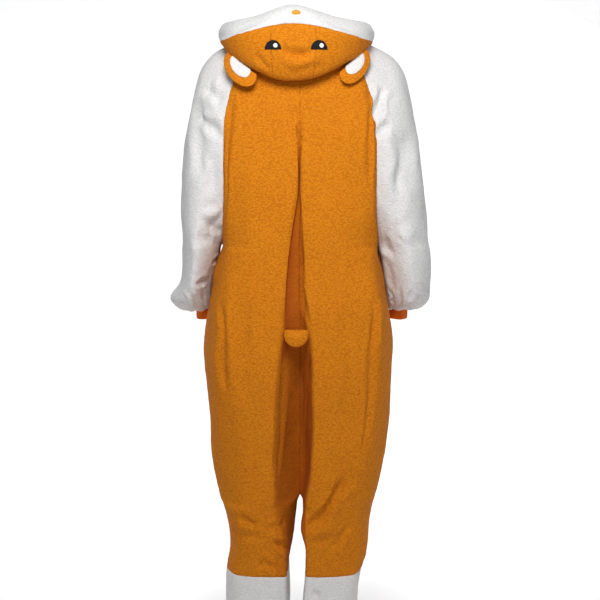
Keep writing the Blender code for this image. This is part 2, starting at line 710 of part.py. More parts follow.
def seam_shift(skin, quads):
    """How far each point on a piece's border moves in, so that half of the seam gap lies on either side."""
    uses = {}
    for quad in quads:
        for k, i in enumerate(quad):
            j = quad[(k + 1) % 4]
            uses.setdefault(frozenset((i, j)), []).append((i, j))
    inward = {}
    for runs in uses.values():
        if len(runs) == 1:
            i, j = runs[0]
            along = skin.points[j] - skin.points[i]
            for end in (i, j):
                inward.setdefault(end, []).append(skin.normals[end].cross(along).normalized())
    shift = {}
    for i, ways in inward.items():
        total = ways[0] + ways[-1] if len(ways) > 1 else ways[0] * 2
        shift[i] = total * (SEAM_GAP / 2) / max(1 + ways[0].dot(ways[-1]), 0.3)
    borders = [runs[0] for runs in uses.values() if len(runs) == 1]
    return shift, borders


def wall_of(name, skin, quads, material, thickness=FLEECE, lift=0.0):
    """A closed solid of a patch of the skin, lifted off it and given its thickness.

    A patch with no lift lies inside the skin. A lifted one stands on it."""
    shift, borders = seam_shift(skin, quads)
    bm = bmesh.new()
    outer, inner = {}, {}
    for i in sorted({i for quad in quads for i in quad}):
        point = skin.points[i] + shift.get(i, Vector())
        normal = skin.normals[i] * skin.stretch[i]
        if i in skin.level_set:
            normal = Vector((0, 0, -1))
        outer[i] = bm.verts.new(point + normal * (lift + thickness if lift else 0))
        inner[i] = bm.verts.new(point + normal * (lift if lift else -thickness))
    for quad in quads:
        bm.faces.new([outer[i] for i in quad])
        bm.faces.new([inner[i] for i in reversed(quad)])
    for i, j in borders:
        if i < j:
            bm.faces.new((outer[j], outer[i], inner[j]))
            bm.faces.new((outer[i], inner[i], inner[j]))
        else:
            bm.faces.new((outer[j], outer[i], inner[i]))
            bm.faces.new((outer[j], inner[i], inner[j]))
    return new_object(name, bm, material)


def cut_pieces(skin):
    patches = {}
    for quad, piece in skin.faces:
        patches.setdefault(piece, []).append(quad)
    white = ("front", "sleeve", "lower_leg", "hood_band")
    made = {}
    for piece, quads in patches.items():
        cloth = "white_fleece" if piece.startswith(white) else "orange_fleece"
        made[piece] = wall_of(piece, skin, quads, cloth)
    return made


def make_cuff(side):
    """A rib-knit tube, ribbed outside and plain inside."""
    bm = bmesh.new()
    count = 2 * RIB_COUNT
    rows = []
    top = CUFF_TOP - CUFF_DROP
    for z, rib in ((top, 0.5), (top - CUFF_LENGTH / 2, 1.0), (top - CUFF_LENGTH, 0.6)):
        ring = []
        for k in range(count):
            turn = 2 * pi * k / count
            grow = RIB_HEIGHT * rib * (k % 2)
            ring.append(bm.verts.new(cuff_point(side, turn, CUFF_HALF_X + grow, CUFF_HALF_Y + grow, z)))
        rows.append(ring)
    for z in (top - CUFF_LENGTH, top):
        half_x, half_y = CUFF_HALF_X - CUFF_WALL, CUFF_HALF_Y - CUFF_WALL
        ring = [cuff_point(side, 2 * pi * k / count, half_x, half_y, z) for k in range(count)]
        rows.append([bm.verts.new(p) for p in ring])
    for upper, lower in zip(rows, [*rows[1:], rows[0]]):
        for k in range(count):
            bm.faces.new((upper[k], lower[k], lower[(k + 1) % count], upper[(k + 1) % count]))
    bmesh.ops.recalc_face_normals(bm, faces=bm.faces)
    return new_object(f"cuff_{SIDE_NAME[side]}", bm, "orange_rib")


def pillow(name, outline, centre, normal, belly, edge, material, patch=None):
    """A closed form between two domed faces on one outline, thickest in the middle.

    With a patch, it is the felt that covers the near face inside the patch's share of the outline."""
    bm = bmesh.new()
    if patch:
        share, wall = patch
        low, high = (1, LAY_GAP), (1, LAY_GAP + wall)
        steps = ((share / 2, low), (share, low), (share, high), (share / 2, high))
    else:
        far, near = (-1, 0.0), (1, 0.0)
        steps = ((0.31, far), (0.62, far), (1.0, far), (1.0, near), (0.62, near), (0.31, near))

    def raised(share, face, lift):
        return normal * (face * (edge / 2 + belly * (1 - share**2)) + lift)

    rings = []
    for share, level in steps:
        rings.append([bm.verts.new(centre.lerp(p, share) + raised(share, *level)) for p in outline])
    poles = [bm.verts.new(centre + raised(0, *steps[k][1])) for k in (0, -1)]
    count = len(outline)
    for a, b in zip(rings, rings[1:]):
        for k in range(count):
            bm.faces.new((a[k], b[k], b[(k + 1) % count], a[(k + 1) % count]))
    for k in range(count):
        bm.faces.new((poles[0], rings[0][k], rings[0][(k + 1) % count]))
        bm.faces.new((poles[1], rings[-1][(k + 1) % count], rings[-1][k]))
    bmesh.ops.recalc_face_normals(bm, faces=bm.faces)
    return new_object(name, bm, material)


def half_oval(half_width, height, steps=12):
    """Points of a rounded lobe that hangs from a straight root: across, from the far side, and down."""
    found = []
    for k in range(steps + 1):
        turn = lerp(radians(-20), radians(200), k / steps)
        found.append((half_width * cos(turn), height * (0.27 + 0.73 * sin(turn))))
    return found


def fold_line(skin, x):
    """The point of the hood's lower fold at this x."""
    run = [skin.points[i] for i in skin.hood[HOOD_FOLD_ROW]]
    run = [p for p in run if p.y < 0]
    for a, b in zip(run, run[1:]):
        if (a.x - x) * (b.x - x) <= 0:
            return a.lerp(b, (x - a.x) / (b.x - a.x))
    return min(run, key=lambda p: abs(p.x - x))


def feelers(obj):
    """The piece's corners, and the middle and quarters of its edges."""
    corners = [v.co for v in obj.data.vertices]
    found = list(corners)
    for edge in obj.data.edges:
        a, b = (corners[i] for i in edge.vertices)
        found += [a.lerp(b, share) for share in (0.25, 0.5, 0.75)]
    return found


def settle(pieces, carriers, way):
    """Move the pieces together this way until they all but touch the carriers."""
    graph = bpy.context.evaluated_depsgraph_get()
    near = []
    for carrier in carriers:
        tree = BVHTree.FromObject(carrier, graph)
        near += [tree.ray_cast(p, way)[3] for piece in pieces for p in feelers(piece)]
        for piece in pieces:
            tree = BVHTree.FromObject(piece, graph)
            near += [tree.ray_cast(p, -way)[3] for p in feelers(carrier)]
    reach = min(d for d in near if d is not None) - LAY_GAP
    for piece in pieces:
        piece.data.transform(Matrix.Translation(way * reach))


def make_ear(skin, pieces, side):
    """An ear that hangs from the hood's fold, and its white inside."""
    name = SIDE_NAME[side]
    middle = fold_line(skin, side * EAR_AT[side])
    outer, inner = (fold_line(skin, side * (EAR_AT[side] + step)) for step in (0.02, -0.02))
    reach = outer - inner
    across = Vector((reach.x, reach.y * EAR_FOLLOW, reach.z)).normalized() * side
    down = Vector((side * EAR_HANG_OUT, -EAR_HANG_BACK, -1)).normalized()
    away = down.cross(across).normalized()
    away = -away if away.y > 0 else away
    drop = down * EAR_DROP
    outline = []
    for step in range(-2, 3):
        outline.append(middle + drop + across * (EAR_HALF_ROOT * step / 2))
    for over, below in half_oval(EAR_HALF_WIDTH, EAR_HEIGHT):
        outline.append(middle + drop + across * over + down * below)
    centre = middle + drop + down * EAR_HEIGHT * EAR_MIDDLE
    ear = pillow(f"ear_{name}", outline, centre, away, EAR_BELLY, EAR_EDGE, "orange_fleece")
    patch = EAR_INNER_SHARE, EAR_INNER_WALL
    lining = f"ear_inner_{name}"
    inside = pillow(lining, outline, centre, away, EAR_BELLY, EAR_EDGE, "white_fleece", patch)
    bpy.context.view_layer.update()
    settle([ear, inside], [pieces[f"hood_side_{name}"]], -down)


def lay_on(name, outline, toward, carrier, wall, material):
    """A felt shape laid on the side of a piece that faces the viewer, its own outline shrunk in rings."""
    graph = bpy.context.evaluated_depsgraph_get()
    trees = [BVHTree.FromObject(o, graph) for o in (carrier if isinstance(carrier, list) else [carrier])]
    centre = sum(outline, Vector()) / len(outline)

    def lie(point):
        """The nearest cloth under the point. A ray to either side keeps it from slipping into a seam."""
        starts = [point + toward * 0.2 + Vector((step, 0, 0)) for step in (0, SEAM_GAP * 2, -SEAM_GAP * 2)]
        hits = [tree.ray_cast(start, -toward) for tree in trees for start in starts]
        hit = min((h for h in hits if h[0] is not None), key=lambda h: h[3])
        return point + toward * (0.2 - hit[3]), hit[1]

    bm = bmesh.new()
    faces = {}
    count = len(outline)
    levels = (1.0, 0.66, 0.33)
    for height in (FELT_GAP, FELT_GAP + wall):
        rings = []
        for share in levels:
            ring = []
            for p in outline:
                at, normal = lie(centre.lerp(p, share))
                ring.append(bm.verts.new(at + toward * height / max(normal.dot(toward), 0.5)))
            rings.append(ring)
        at, normal = lie(centre)
        pole = bm.verts.new(at + toward * height / max(normal.dot(toward), 0.5))
        for a, b in zip(rings, rings[1:]):
            for k in range(count):
                bm.faces.new((a[k], a[(k + 1) % count], b[(k + 1) % count], b[k]))
        for k in range(count):
            bm.faces.new((rings[-1][k], rings[-1][(k + 1) % count], pole))
        faces[height] = rings[0]
    low, high = faces.values()
    for k in range(count):
        bm.faces.new((low[k], low[(k + 1) % count], high[(k + 1) % count], high[k]))
    bmesh.ops.recalc_face_normals(bm, faces=bm.faces)
    return new_object(name, bm, material)


def make_face(pieces):
    """Drowsy half-moon eyes and a rounded nose, as felt laid on the hood."""
    hood = [pieces[n] for n in ("hood_centre", "hood_side_left", "hood_side_right")]
    toward = Vector((0, -1, 0))
    for side in (RIGHT, LEFT):
        name = SIDE_NAME[side]
        lid = [(EYE_HALF_WIDTH * (k / 2 - 1), 0.0) for k in range(5)]
        arc = [(EYE_HALF_WIDTH * cos(pi * k / 10), EYE_HEIGHT * sin(pi * k / 10)) for k in range(1, 10)]
        middle = FACE_X + side * EYE_X
        outline = [Vector((middle + x, 0, EYE_Z + z)) for x, z in [*lid, *arc]]
        eye = lay_on(f"eye_{name}", outline, toward, hood, FELT, "black_felt")
        spot = Vector((middle + 0.005, 0, EYE_Z + EYE_HEIGHT * 0.42))
        ring = [(cos(2 * pi * k / 12), sin(2 * pi * k / 12)) for k in range(12)]
        glint = [spot + Vector((GLINT_RADIUS * x, 0, GLINT_RADIUS * z)) for x, z in ring]
        lay_on(f"eye_glint_{name}", glint, toward, eye, FELT, "white_fleece")
    nose = []
    for k in range(14):
        turn = 2 * pi * k / 14
        width = NOSE_HALF_WIDTH * (1 - 0.25 * sin(turn))
        nose.append(Vector((FACE_X + width * cos(turn), 0, NOSE_Z + NOSE_HEIGHT / 2 * sin(turn))))
    lay_on("nose", nose, toward, pieces["hood_band"], FELT, "orange_rib")


def make_tail(skin, pieces):
    """A half oval that hangs from a short seam across the centre back."""
    backs = [pieces["back_left"], pieces["back_right"]]
    graph = bpy.context.evaluated_depsgraph_get()
    toward = Vector((0, -1, 0))
    hits = []
    for x in (TAIL_X - TAIL_HALF_WIDTH, TAIL_X, TAIL_X + TAIL_HALF_WIDTH):
        for obj in backs:
            for z in (TAIL_Z, TAIL_Z - TAIL_EDGE):
                hit = BVHTree.FromObject(obj, graph).ray_cast(Vector((x, -1, z)), -toward)[0]
                if hit is not None:
                    hits.append(hit.y)
    root_y = min(hits) - TAIL_EDGE / 2 - 0.0006
    down = Matrix.Rotation(-TAIL_TILT, 4, "X") @ Vector((0, 0, -1))
    normal = Vector((0, down.z, -down.y)).normalized()
    root = Vector((TAIL_X, root_y, TAIL_Z))
    half_root = TAIL_HALF_WIDTH * 0.9
    shape = [(-half_root, 0.0), (0.0, 0.0), (half_root, 0.0), *half_oval(TAIL_HALF_WIDTH, TAIL_HEIGHT)]
    outline = [root + Vector((x, 0, 0)) + down * below for x, below in shape]
    centre = root + down * TAIL_HEIGHT * 0.42
    tail = pillow("tail", outline, centre, normal, TAIL_BELLY, TAIL_EDGE, "orange_fleece")
    bpy.context.view_layer.update()
    settle([tail], backs, -toward)


def make_placket(skin):
    """The strip over the centre front, laid on both fronts, and its buttons."""
    first, last = PLACKET_ROWS
    left, middle, right = skin.placket_edge[LEFT], skin.centre_front, skin.placket_edge[RIGHT]
    quads = []
    for k in range(first, last):
        quads.append((right[k], right[k + 1], middle[k + 1], middle[k]))
        quads.append((middle[k], middle[k + 1], left[k + 1], left[k]))
    wall_of("placket", skin, quads, "white_fleece", PLACKET_WALL, LAY_GAP)
    for number, row in enumerate(BUTTON_ROWS, 1):
        make_button(number, skin, middle[row], middle[row + 1])


def make_button(number, skin, upper, lower):
    """A turned button with a rim and a dished face, flat on the placket."""
    a, b = skin.points[upper], skin.points[lower]
    along = (a - b).normalized()
    normal = Vector((0, along.z, -along.y))
    mesh = bpy.data.meshes.new(f"button_{number}")
    points = [(share * BUTTON_RADIUS, 0, height * BUTTON_THICKNESS) for share, height in BUTTON_PROFILE]
    mesh.from_pydata(points, [(k, k + 1) for k in range(len(points) - 1)], [])
    button = bpy.data.objects.new(f"button_{number}", mesh)
    GARMENT.objects.link(button)
    mesh.materials.append(MATERIALS["button_resin"])
    screw = button.modifiers.new("turned", "SCREW")
    screw.steps = screw.render_steps = BUTTON_SIDES
    screw.use_merge_vertices = True
    screw.merge_threshold = 0.00001
    screw.use_smooth_shade = True
    lift = (skin.stretch[upper] + skin.stretch[lower]) / 2 * (PLACKET_WALL + LAY_GAP) + LAY_GAP
    button.location = (a + b) / 2 + normal * lift
    button.rotation_mode = "QUATERNION"
    button.rotation_quaternion = normal.to_track_quat("Z", "Y")


def main():
    skin = Onesie()
    pieces = cut_pieces(skin)
    for side in (RIGHT, LEFT):
        make_cuff(side)
        make_ear(skin, pieces, side)
    make_tail(skin, pieces)
    make_placket(skin)
    bpy.context.view_layer.update()
    make_face(pieces)


for old in list(bpy.data.objects):
    bpy.data.objects.remove(old)
GARMENT = bpy.data.collections.new("onesie")
bpy.context.scene.collection.children.link(GARMENT)
MATERIALS = {name: make_material(name) for name in COLOURS}
main()
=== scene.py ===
"""Looks of the hooded fleece onesie. Each cloth piece is a thin shell on its solid's form.

The garment's skin is worked out as in the part's source, refined until it can hold creases, and cut again
into the same pieces. Its centre back fold closes further up than the solids' does, and its sides come out
a few millimetres further to the sleeves. Metres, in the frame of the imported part.
"""

import json
from collections import namedtuple
from math import atan, atan2, cos, pi, radians, sin

import bmesh
import bpy
import numpy as np
from mathutils import Matrix, Vector, noise
from mathutils.bvhtree import BVHTree
from mathutils.kdtree import KDTree

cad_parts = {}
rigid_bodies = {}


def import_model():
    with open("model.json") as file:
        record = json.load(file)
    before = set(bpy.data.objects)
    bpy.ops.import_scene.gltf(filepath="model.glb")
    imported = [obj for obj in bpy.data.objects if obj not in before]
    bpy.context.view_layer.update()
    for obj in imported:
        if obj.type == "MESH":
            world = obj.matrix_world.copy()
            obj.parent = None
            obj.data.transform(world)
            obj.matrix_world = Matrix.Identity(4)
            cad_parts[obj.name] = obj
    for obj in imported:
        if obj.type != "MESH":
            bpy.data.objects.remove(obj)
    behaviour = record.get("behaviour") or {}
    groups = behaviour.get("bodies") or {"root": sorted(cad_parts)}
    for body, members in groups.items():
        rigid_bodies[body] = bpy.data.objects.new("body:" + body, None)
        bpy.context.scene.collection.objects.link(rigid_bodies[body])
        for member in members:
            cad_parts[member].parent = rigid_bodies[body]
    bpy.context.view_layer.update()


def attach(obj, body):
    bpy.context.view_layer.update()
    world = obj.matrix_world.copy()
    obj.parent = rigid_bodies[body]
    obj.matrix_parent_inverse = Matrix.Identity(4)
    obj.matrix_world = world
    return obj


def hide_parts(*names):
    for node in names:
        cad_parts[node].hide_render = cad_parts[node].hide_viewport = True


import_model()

# The camera: it stands behind the garment, a little above its middle
CAMERA_DISTANCE = 3.2
CAMERA_PITCH = radians(6)
CAMERA_TARGET = Vector((0, 0, -0.572))
VIEW_HEIGHT = 1.32
FLOOR_Z = -1.3465

# Cloth: how thick fleece is, and how far one piece that lies on another stays off it
FLEECE = 0.0026
LAY_GAP = 0.0004
RIGHT, LEFT = 1, -1
SIDE_NAME = {RIGHT: "right", LEFT: "left"}

# Columns of the skin between two neighbouring stations of a ring
BACK_COUNTS = (2, 1, 4, 3, 2)
ARM_COUNTS = (2, 2, 2, 2, 2, 2)
FLANK_COUNTS = (2, 2)
FRONT_COUNTS = (3, 2, 1)
PLACKET_HALF_WIDTH = 0.019

# Where the stations of a half ring lie, as shares of the ring's own sizes: the wall and the lip of the
# centre back fold, the blade, the turn to the side, the belly seam and the height of the outer arm
FOLD_WALL_X, FOLD_WALL_IN = 0.66, 0.55
FOLD_LIP_IN = 0.06
BLADE_X = 0.5
YOKE_EDGE_X, YOKE_EDGE_IN = 0.93, 0.42
YOKE_SEAM_DROP = 0.4
BELLY_Y, BELLY_DROP = 0.93, 0.25
YOKE_BELLY_X, TRUNK_BELLY_X = 0.62, 0.76
PLACKET_DIP = 0.8
ARM_LEVEL = 0.55
ARM_ANGLES = (0, 50, 90, 130, 180)
REAR_X, REAR_DEEP, FORE_DEEP = 0.72, 0.60, 0.50
TURN_AT_ARM, TURN_FREE = 0.74, 0.90

# The yoke, from the neck to the underarm: one ring round the body and both arms.
# z_*: height of the ring at the centre back, at the outer arm and at the centre front.
# back, front: y of the body. pleat: how far the centre back seam is drawn in.
# lip_*: where that fold's lips lie.
# seam_*: the raglan seam. arm_*: the sleeve's extent.
Yoke = namedtuple(
    "Yoke",
    "z_back z_arm z_front back front pleat lip_left lip_right seam_x seam_back seam_front "
    "arm_mid arm_left arm_right arm_back arm_front",
)
YOKE = (
    Yoke(0.012, 0.004, -0.040, -0.070, 0.080, 0.000, 0.018, 0.018,
         0.056, -0.046, 0.050, 0.066, 0.077, 0.072, -0.022, 0.026),
    Yoke(-0.020, -0.015, -0.062, -0.098, 0.100, 0.000, 0.018, 0.018,
         0.084, -0.072, 0.070, 0.112, 0.138, 0.138, -0.047, 0.045),
    Yoke(-0.060, -0.040, -0.095, -0.120, 0.117, 0.000, 0.018, 0.018,
         0.112, -0.094, 0.088, 0.152, 0.188, 0.192, -0.068, 0.064),
    Yoke(-0.110, -0.076, -0.130, -0.133, 0.126, 0.000, 0.018, 0.018,
         0.137, -0.112, 0.102, 0.178, 0.216, 0.222, -0.088, 0.081),
    Yoke(-0.155, -0.125, -0.165, -0.140, 0.131, 0.000, 0.012, 0.012,
         0.151, -0.120, 0.109, 0.192, 0.229, 0.237, -0.100, 0.091),
    Yoke(-0.205, -0.190, -0.205, -0.145, 0.134, 0.003, 0.008, 0.006,
         0.159, -0.122, 0.111, 0.203, 0.241, 0.249, -0.106, 0.094),
    Yoke(-0.264, -0.264, -0.264, -0.149, 0.137, 0.009, 0.007, 0.004,
         0.161, -0.119, 0.107, 0.209, 0.253, 0.261, -0.108, 0.096),
    Yoke(-0.330, -0.330, -0.330, -0.152, 0.139, 0.013, 0.010, 0.004,
         0.162, -0.108, 0.098, 0.213, 0.258, 0.270, -0.107, 0.097),
    Yoke(-0.390, -0.390, -0.390, -0.154, 0.140, 0.017, 0.019, 0.006,
         0.164, -0.085, 0.082, 0.216, 0.258, 0.276, -0.105, 0.099),
    Yoke(-0.440, -0.440, -0.440, -0.155, 0.141, 0.020, 0.024, 0.008,
         0.168, -0.046, 0.050, 0.218, 0.256, 0.281, -0.101, 0.101),
)
UNDERARM_DROP = 0.010
NECK_ROUND = (1.0, 0.35)

# The body below the underarms. half_*: half width at the side.
# edge: x where the back panel turns to the side.
# dip: how far the centre front is drawn in towards the crotch.
# free: how far the side has come away from the form it has at the underarm.
Trunk = namedtuple(
    "Trunk", "z back front pleat lip_left lip_right half_left half_right edge dip free"
)
TRUNK = (
    Trunk(-0.455, -0.1555, 0.141, 0.021, 0.026, 0.009, 0.168, 0.165, 0.155, 0.000, 0.10),
    Trunk(-0.480, -0.156, 0.141, 0.023, 0.028, 0.010, 0.178, 0.172, 0.157, 0.000, 0.32),
    Trunk(-0.512, -0.157, 0.141, 0.024, 0.032, 0.012, 0.189, 0.179, 0.159, 0.000, 0.62),
    Trunk(-0.545, -0.158, 0.140, 0.025, 0.035, 0.014, 0.191, 0.183, 0.161, 0.000, 0.85),
    Trunk(-0.580, -0.158, 0.139, 0.027, 0.038, 0.016, 0.197, 0.189, 0.163, 0.000, 1.0),
    Trunk(-0.625, -0.157, 0.137, 0.030, 0.041, 0.022, 0.204, 0.197, 0.163, 0.000, 1.0),
    Trunk(-0.665, -0.156, 0.134, 0.043, 0.044, 0.026, 0.208, 0.200, 0.161, 0.000, 1.0),
    Trunk(-0.715, -0.153, 0.131, 0.064, 0.047, 0.027, 0.207, 0.200, 0.157, 0.002, 1.0),
    Trunk(-0.770, -0.148, 0.127, 0.080, 0.050, 0.027, 0.202, 0.198, 0.151, 0.006, 1.0),
    Trunk(-0.830, -0.140, 0.122, 0.089, 0.053, 0.027, 0.196, 0.194, 0.145, 0.014, 1.0),
    Trunk(-0.890, -0.131, 0.116, 0.092, 0.055, 0.026, 0.192, 0.187, 0.139, 0.024, 1.0),
    Trunk(-0.950, -0.121, 0.109, 0.089, 0.055, 0.021, 0.185, 0.178, 0.132, 0.034, 1.0),
    Trunk(-1.000, -0.112, 0.103, 0.084, 0.053, 0.012, 0.177, 0.166, 0.126, 0.044, 1.0),
)
FLANK_Y = -0.030
REAR_Y = -0.048
FORE_Y = 0.051
FORE_NARROWING = 0.027

# The legs. out, lip, inner: x of the outside, of the back fold's lip and of the inside. back, front: y.
Leg = namedtuple("Leg", "z back front out lip inner")
LEG = {
    LEFT: (
        Leg(-1.016, -0.109, 0.101, 0.171, 0.050, 0.007),
        Leg(-1.040, -0.103, 0.099, 0.165, 0.044, 0.010),
        Leg(-1.070, -0.097, 0.096, 0.160, 0.035, 0.0135),
        Leg(-1.105, -0.090, 0.092, 0.157, 0.028, 0.0175),
        Leg(-1.140, -0.084, 0.089, 0.161, 0.0275, 0.022),
        Leg(-1.175, -0.079, 0.086, 0.166, 0.0270, 0.0245),
        Leg(-1.230, -0.075, 0.083, 0.168, 0.0265, 0.0240),
        Leg(-1.290, -0.071, 0.079, 0.164, 0.0290, 0.0260),
        Leg(-1.345, -0.067, 0.075, 0.160, 0.0330, 0.0300),
    ),
    RIGHT: (
        Leg(-1.016, -0.109, 0.101, 0.161, 0.008, 0.007),
        Leg(-1.040, -0.103, 0.099, 0.155, 0.003, 0.009),
        Leg(-1.070, -0.097, 0.096, 0.151, 0.000, 0.009),
        Leg(-1.105, -0.090, 0.092, 0.149, 0.008, 0.013),
        Leg(-1.140, -0.084, 0.089, 0.145, 0.010, 0.015),
        Leg(-1.175, -0.079, 0.086, 0.137, 0.009, 0.014),
        Leg(-1.230, -0.075, 0.083, 0.129, 0.004, 0.010),
        Leg(-1.290, -0.071, 0.079, 0.127, 0.006, 0.011),
        Leg(-1.345, -0.067, 0.075, 0.124, 0.009, 0.013),
    ),
}
# Stations round a leg. run: across from the fold's lip or from the inside to the outside, or across
# the inside itself. along: from the back to the front.
LegStation = namedtuple("LegStation", "run across along")
LEG_STATIONS = (
    LegStation("inside", 1.0, 0.38),
    LegStation("inside", 0.42, 0.19),
    LegStation("lip", 0.03, 0.04),
    LegStation("lip", 0.42, 0.0),
    LegStation("lip", 0.80, 0.085),
    LegStation("lip", 0.955, 0.24),
    LegStation("lip", 1.0, 0.40),
    LegStation("lip", 0.87, 0.74),
    LegStation("inner", 0.60, 0.96),
    LegStation("inner", 0.10, 0.88),
    LegStation("inside", 1.0, 0.78),
    LegStation("inside", 1.0, 0.58),
)
LOWER_LEG_ROW = 5
LEG_SEAM_DROP = 0.010

# The sleeves below the underarm. in_*: x of the side that faces the body, at its back and front.
Sleeve = namedtuple("Sleeve", "z in_back in_front mid out back front")
SLEEVE = {
    LEFT: (
        Sleeve(-0.455, 0.178, 0.176, 0.219, 0.257, -0.100, 0.102),
        Sleeve(-0.480, 0.184, 0.179, 0.221, 0.257, -0.096, 0.104),
        Sleeve(-0.512, 0.194, 0.182, 0.226, 0.258, -0.089, 0.107),
        Sleeve(-0.540, 0.200, 0.183, 0.231, 0.266, -0.079, 0.110),
        Sleeve(-0.562, 0.203, 0.181, 0.235, 0.283, -0.067, 0.110),
        Sleeve(-0.578, 0.204, 0.180, 0.234, 0.280, -0.052, 0.105),
    ),
    RIGHT: (
        Sleeve(-0.455, 0.175, 0.173, 0.226, 0.284, -0.100, 0.102),
        Sleeve(-0.480, 0.180, 0.176, 0.229, 0.287, -0.096, 0.104),
        Sleeve(-0.512, 0.188, 0.180, 0.232, 0.288, -0.089, 0.107),
        Sleeve(-0.540, 0.193, 0.182, 0.236, 0.287, -0.079, 0.110),
        Sleeve(-0.562, 0.196, 0.182, 0.237, 0.286, -0.067, 0.110),
        Sleeve(-0.578, 0.198, 0.183, 0.236, 0.279, -0.052, 0.105),
    ),
}
GATHER_HEIGHT = 0.0030
GATHER_DIP = -0.5
GATHER_FULL_AT = 0.030
UNDER_SAG = 0.0030
UNDER_SHARE = 0.45
# The side that faces the body: how far to its back and front it turns, as a share of the depth
SLEEVE_TURN = 0.5

# Rib cuffs
CUFF_CENTRE = {LEFT: (-0.211, 0.048), RIGHT: (0.2195, 0.048)}
CUFF_HALF_X = 0.0200
CUFF_HALF_Y = 0.0310
CUFF_TOP = -0.5895
CUFF_DROP = 0.0013
CUFF_LENGTH = 0.0265
CUFF_WALL = 0.0022
RIB_COUNT = 32
RIB_HEIGHT = 0.0006
RIB_STEPS, QUICK_RIB_STEPS = 10, 6
CUFF_WAVE, CUFF_WAVES = 0.0004, 3
# A cuff's rings, round its wall. share: how far down. out: how far out from its outer face, in walls.
# rib: how high the ribs stand there.
CuffRing = namedtuple("CuffRing", "share out rib")
CUFF_RINGS = (
    CuffRing(0.0, -0.55, 0.3),
    CuffRing(0.0, -0.1, 0.6),
    CuffRing(0.04, 0.0, 0.8),
    CuffRing(0.2, 0.02, 1.0),
    CuffRing(0.5, 0.08, 1.0),
    CuffRing(0.8, 0.0, 1.0),
    CuffRing(0.93, -0.05, 0.8),
    CuffRing(0.985, -0.25, 0.6),
    CuffRing(1.0, -0.6, 0.3),
    CuffRing(0.96, -1.0, 0.0),
    CuffRing(0.5, -1.0, 0.0),
    CuffRing(0.05, -1.0, 0.0),
)

# The hood's run from the neck seam, over its roll, down to the fold and up again to the rim:
# steps out from the neck and up, at the back, over the shoulder and at the front.
# reach: how soon the row comes down from its height at the back to its height over the shoulder.
Hood = namedtuple("Hood", "back_out back_up side_out side_up front_out front_up reach")
HOOD = (
    Hood(0.000, 0.013, 0.001, 0.010, 0.001, 0.010, 1.0),
    Hood(0.009, 0.024, 0.010, 0.016, 0.008, 0.018, 1.0),
    Hood(0.022, 0.015, 0.022, 0.010, 0.018, 0.012, 1.0),
    Hood(0.048, -0.046, 0.044, 0.005, 0.027, 0.003, 1.0),
    Hood(0.072, -0.096, 0.058, -0.003, 0.035, -0.009, 1.0),
    Hood(0.092, -0.114, 0.069, -0.012, 0.042, -0.017, 1.0),
    Hood(0.110, -0.093, 0.077, -0.020, 0.048, -0.016, 1.0),
    Hood(0.121, -0.044, 0.082, -0.024, 0.051, -0.012, 1.2),
    Hood(0.118, 0.001, 0.086, -0.023, 0.051, -0.006, 1.9),
    Hood(0.104, 0.026, 0.089, -0.015, 0.048, 0.002, 2.1),
    Hood(0.092, 0.036, 0.093, 0.000, 0.044, 0.012, 2.2),
    Hood(0.072, 0.043, 0.086, 0.016, 0.034, 0.018, 2.3),
)
HOOD_FOLD_ROW = 6
HOOD_BAND_ROW = 9
NECK_CENTRE_Y = 0.005
HOOD_BULGE = 0.20
HOOD_LEAN = -0.014
HOOD_OPENING = 0.006

# Ears, sewn in at the hood's fold
EAR_AT = {LEFT: 0.119, RIGHT: 0.109}
EAR_HALF_ROOT = 0.042
EAR_HALF_WIDTH = 0.045
EAR_HEIGHT = 0.044
EAR_MIDDLE = 0.16
EAR_DROP = 0.014
EAR_FOLLOW = 0.45
EAR_HANG_OUT = 0.36
EAR_HANG_BACK = 0.38
EAR_EDGE = 0.003
EAR_BELLY = 0.005
EAR_INNER_SHARE = 0.62
EAR_INNER_WALL = 0.0012
# How far to either side the hood's fold is followed for the way in which an ear lies
EAR_FEEL = 0.02
# Where the stitches of its inside run, as a share of the way out
EAR_STITCH_AT = 0.9
# A lobe's outline: the steps and the angles of its round, and how it hangs below its root
LOBE_STEPS = 12
LOBE_ANGLES = (-20, 200)
LOBE_MIDDLE, LOBE_REACH = 0.27, 0.73

# Tail, a stuffed half oval in the centre back fold
TAIL_HALF_WIDTH = 0.026
TAIL_HEIGHT = 0.037
TAIL_BELLY = 0.007
TAIL_EDGE = 0.003
TAIL_TILT = radians(14)
TAIL_ROOT, TAIL_MIDDLE = 0.9, 0.42
TAIL_SEED = 5

# Felt face on the hood, upside down while the hood is down
FELT = 0.0012
FELT_GAP = 0.0008
FACE_X = -0.008
EYE_X = 0.047
EYE_Z = -0.040
EYE_HALF_WIDTH = 0.017
EYE_HEIGHT = 0.019
GLINT_RADIUS = 0.0045
NOSE_Z = 0.036
NOSE_HALF_WIDTH = 0.009
NOSE_HEIGHT = 0.010
NOSE_TAPER = 0.25
# Steps along an eye's lid and its round, round a glint and round the nose
LID_STEPS, EYE_STEPS, GLINT_STEPS, NOSE_STEPS = 20, 40, 32, 48

# Front opening
PLACKET_ROWS = (1, 17)
PLACKET_WALL = 0.0022
BUTTON_ROWS = (3, 6, 8, 12, 15)
BUTTON_RADIUS = 0.009
BUTTON_THICKNESS = 0.0036
# Shares of the button's radius and thickness, from the middle of its dish to the middle of its underside
BUTTON_PROFILE = (
    (0.0, 0.55),
    (0.35, 0.55),
    (0.62, 0.55),
    (0.74, 1.0),
    (0.92, 1.0),
    (1.0, 0.7),
    (1.0, 0.2),
    (0.9, 0.0),
    (0.0, 0.0),
)

# How finely the skin is refined, and how it is fitted through the solids' own points
FINE_LEVEL = 3
FIT_ROUNDS = 4

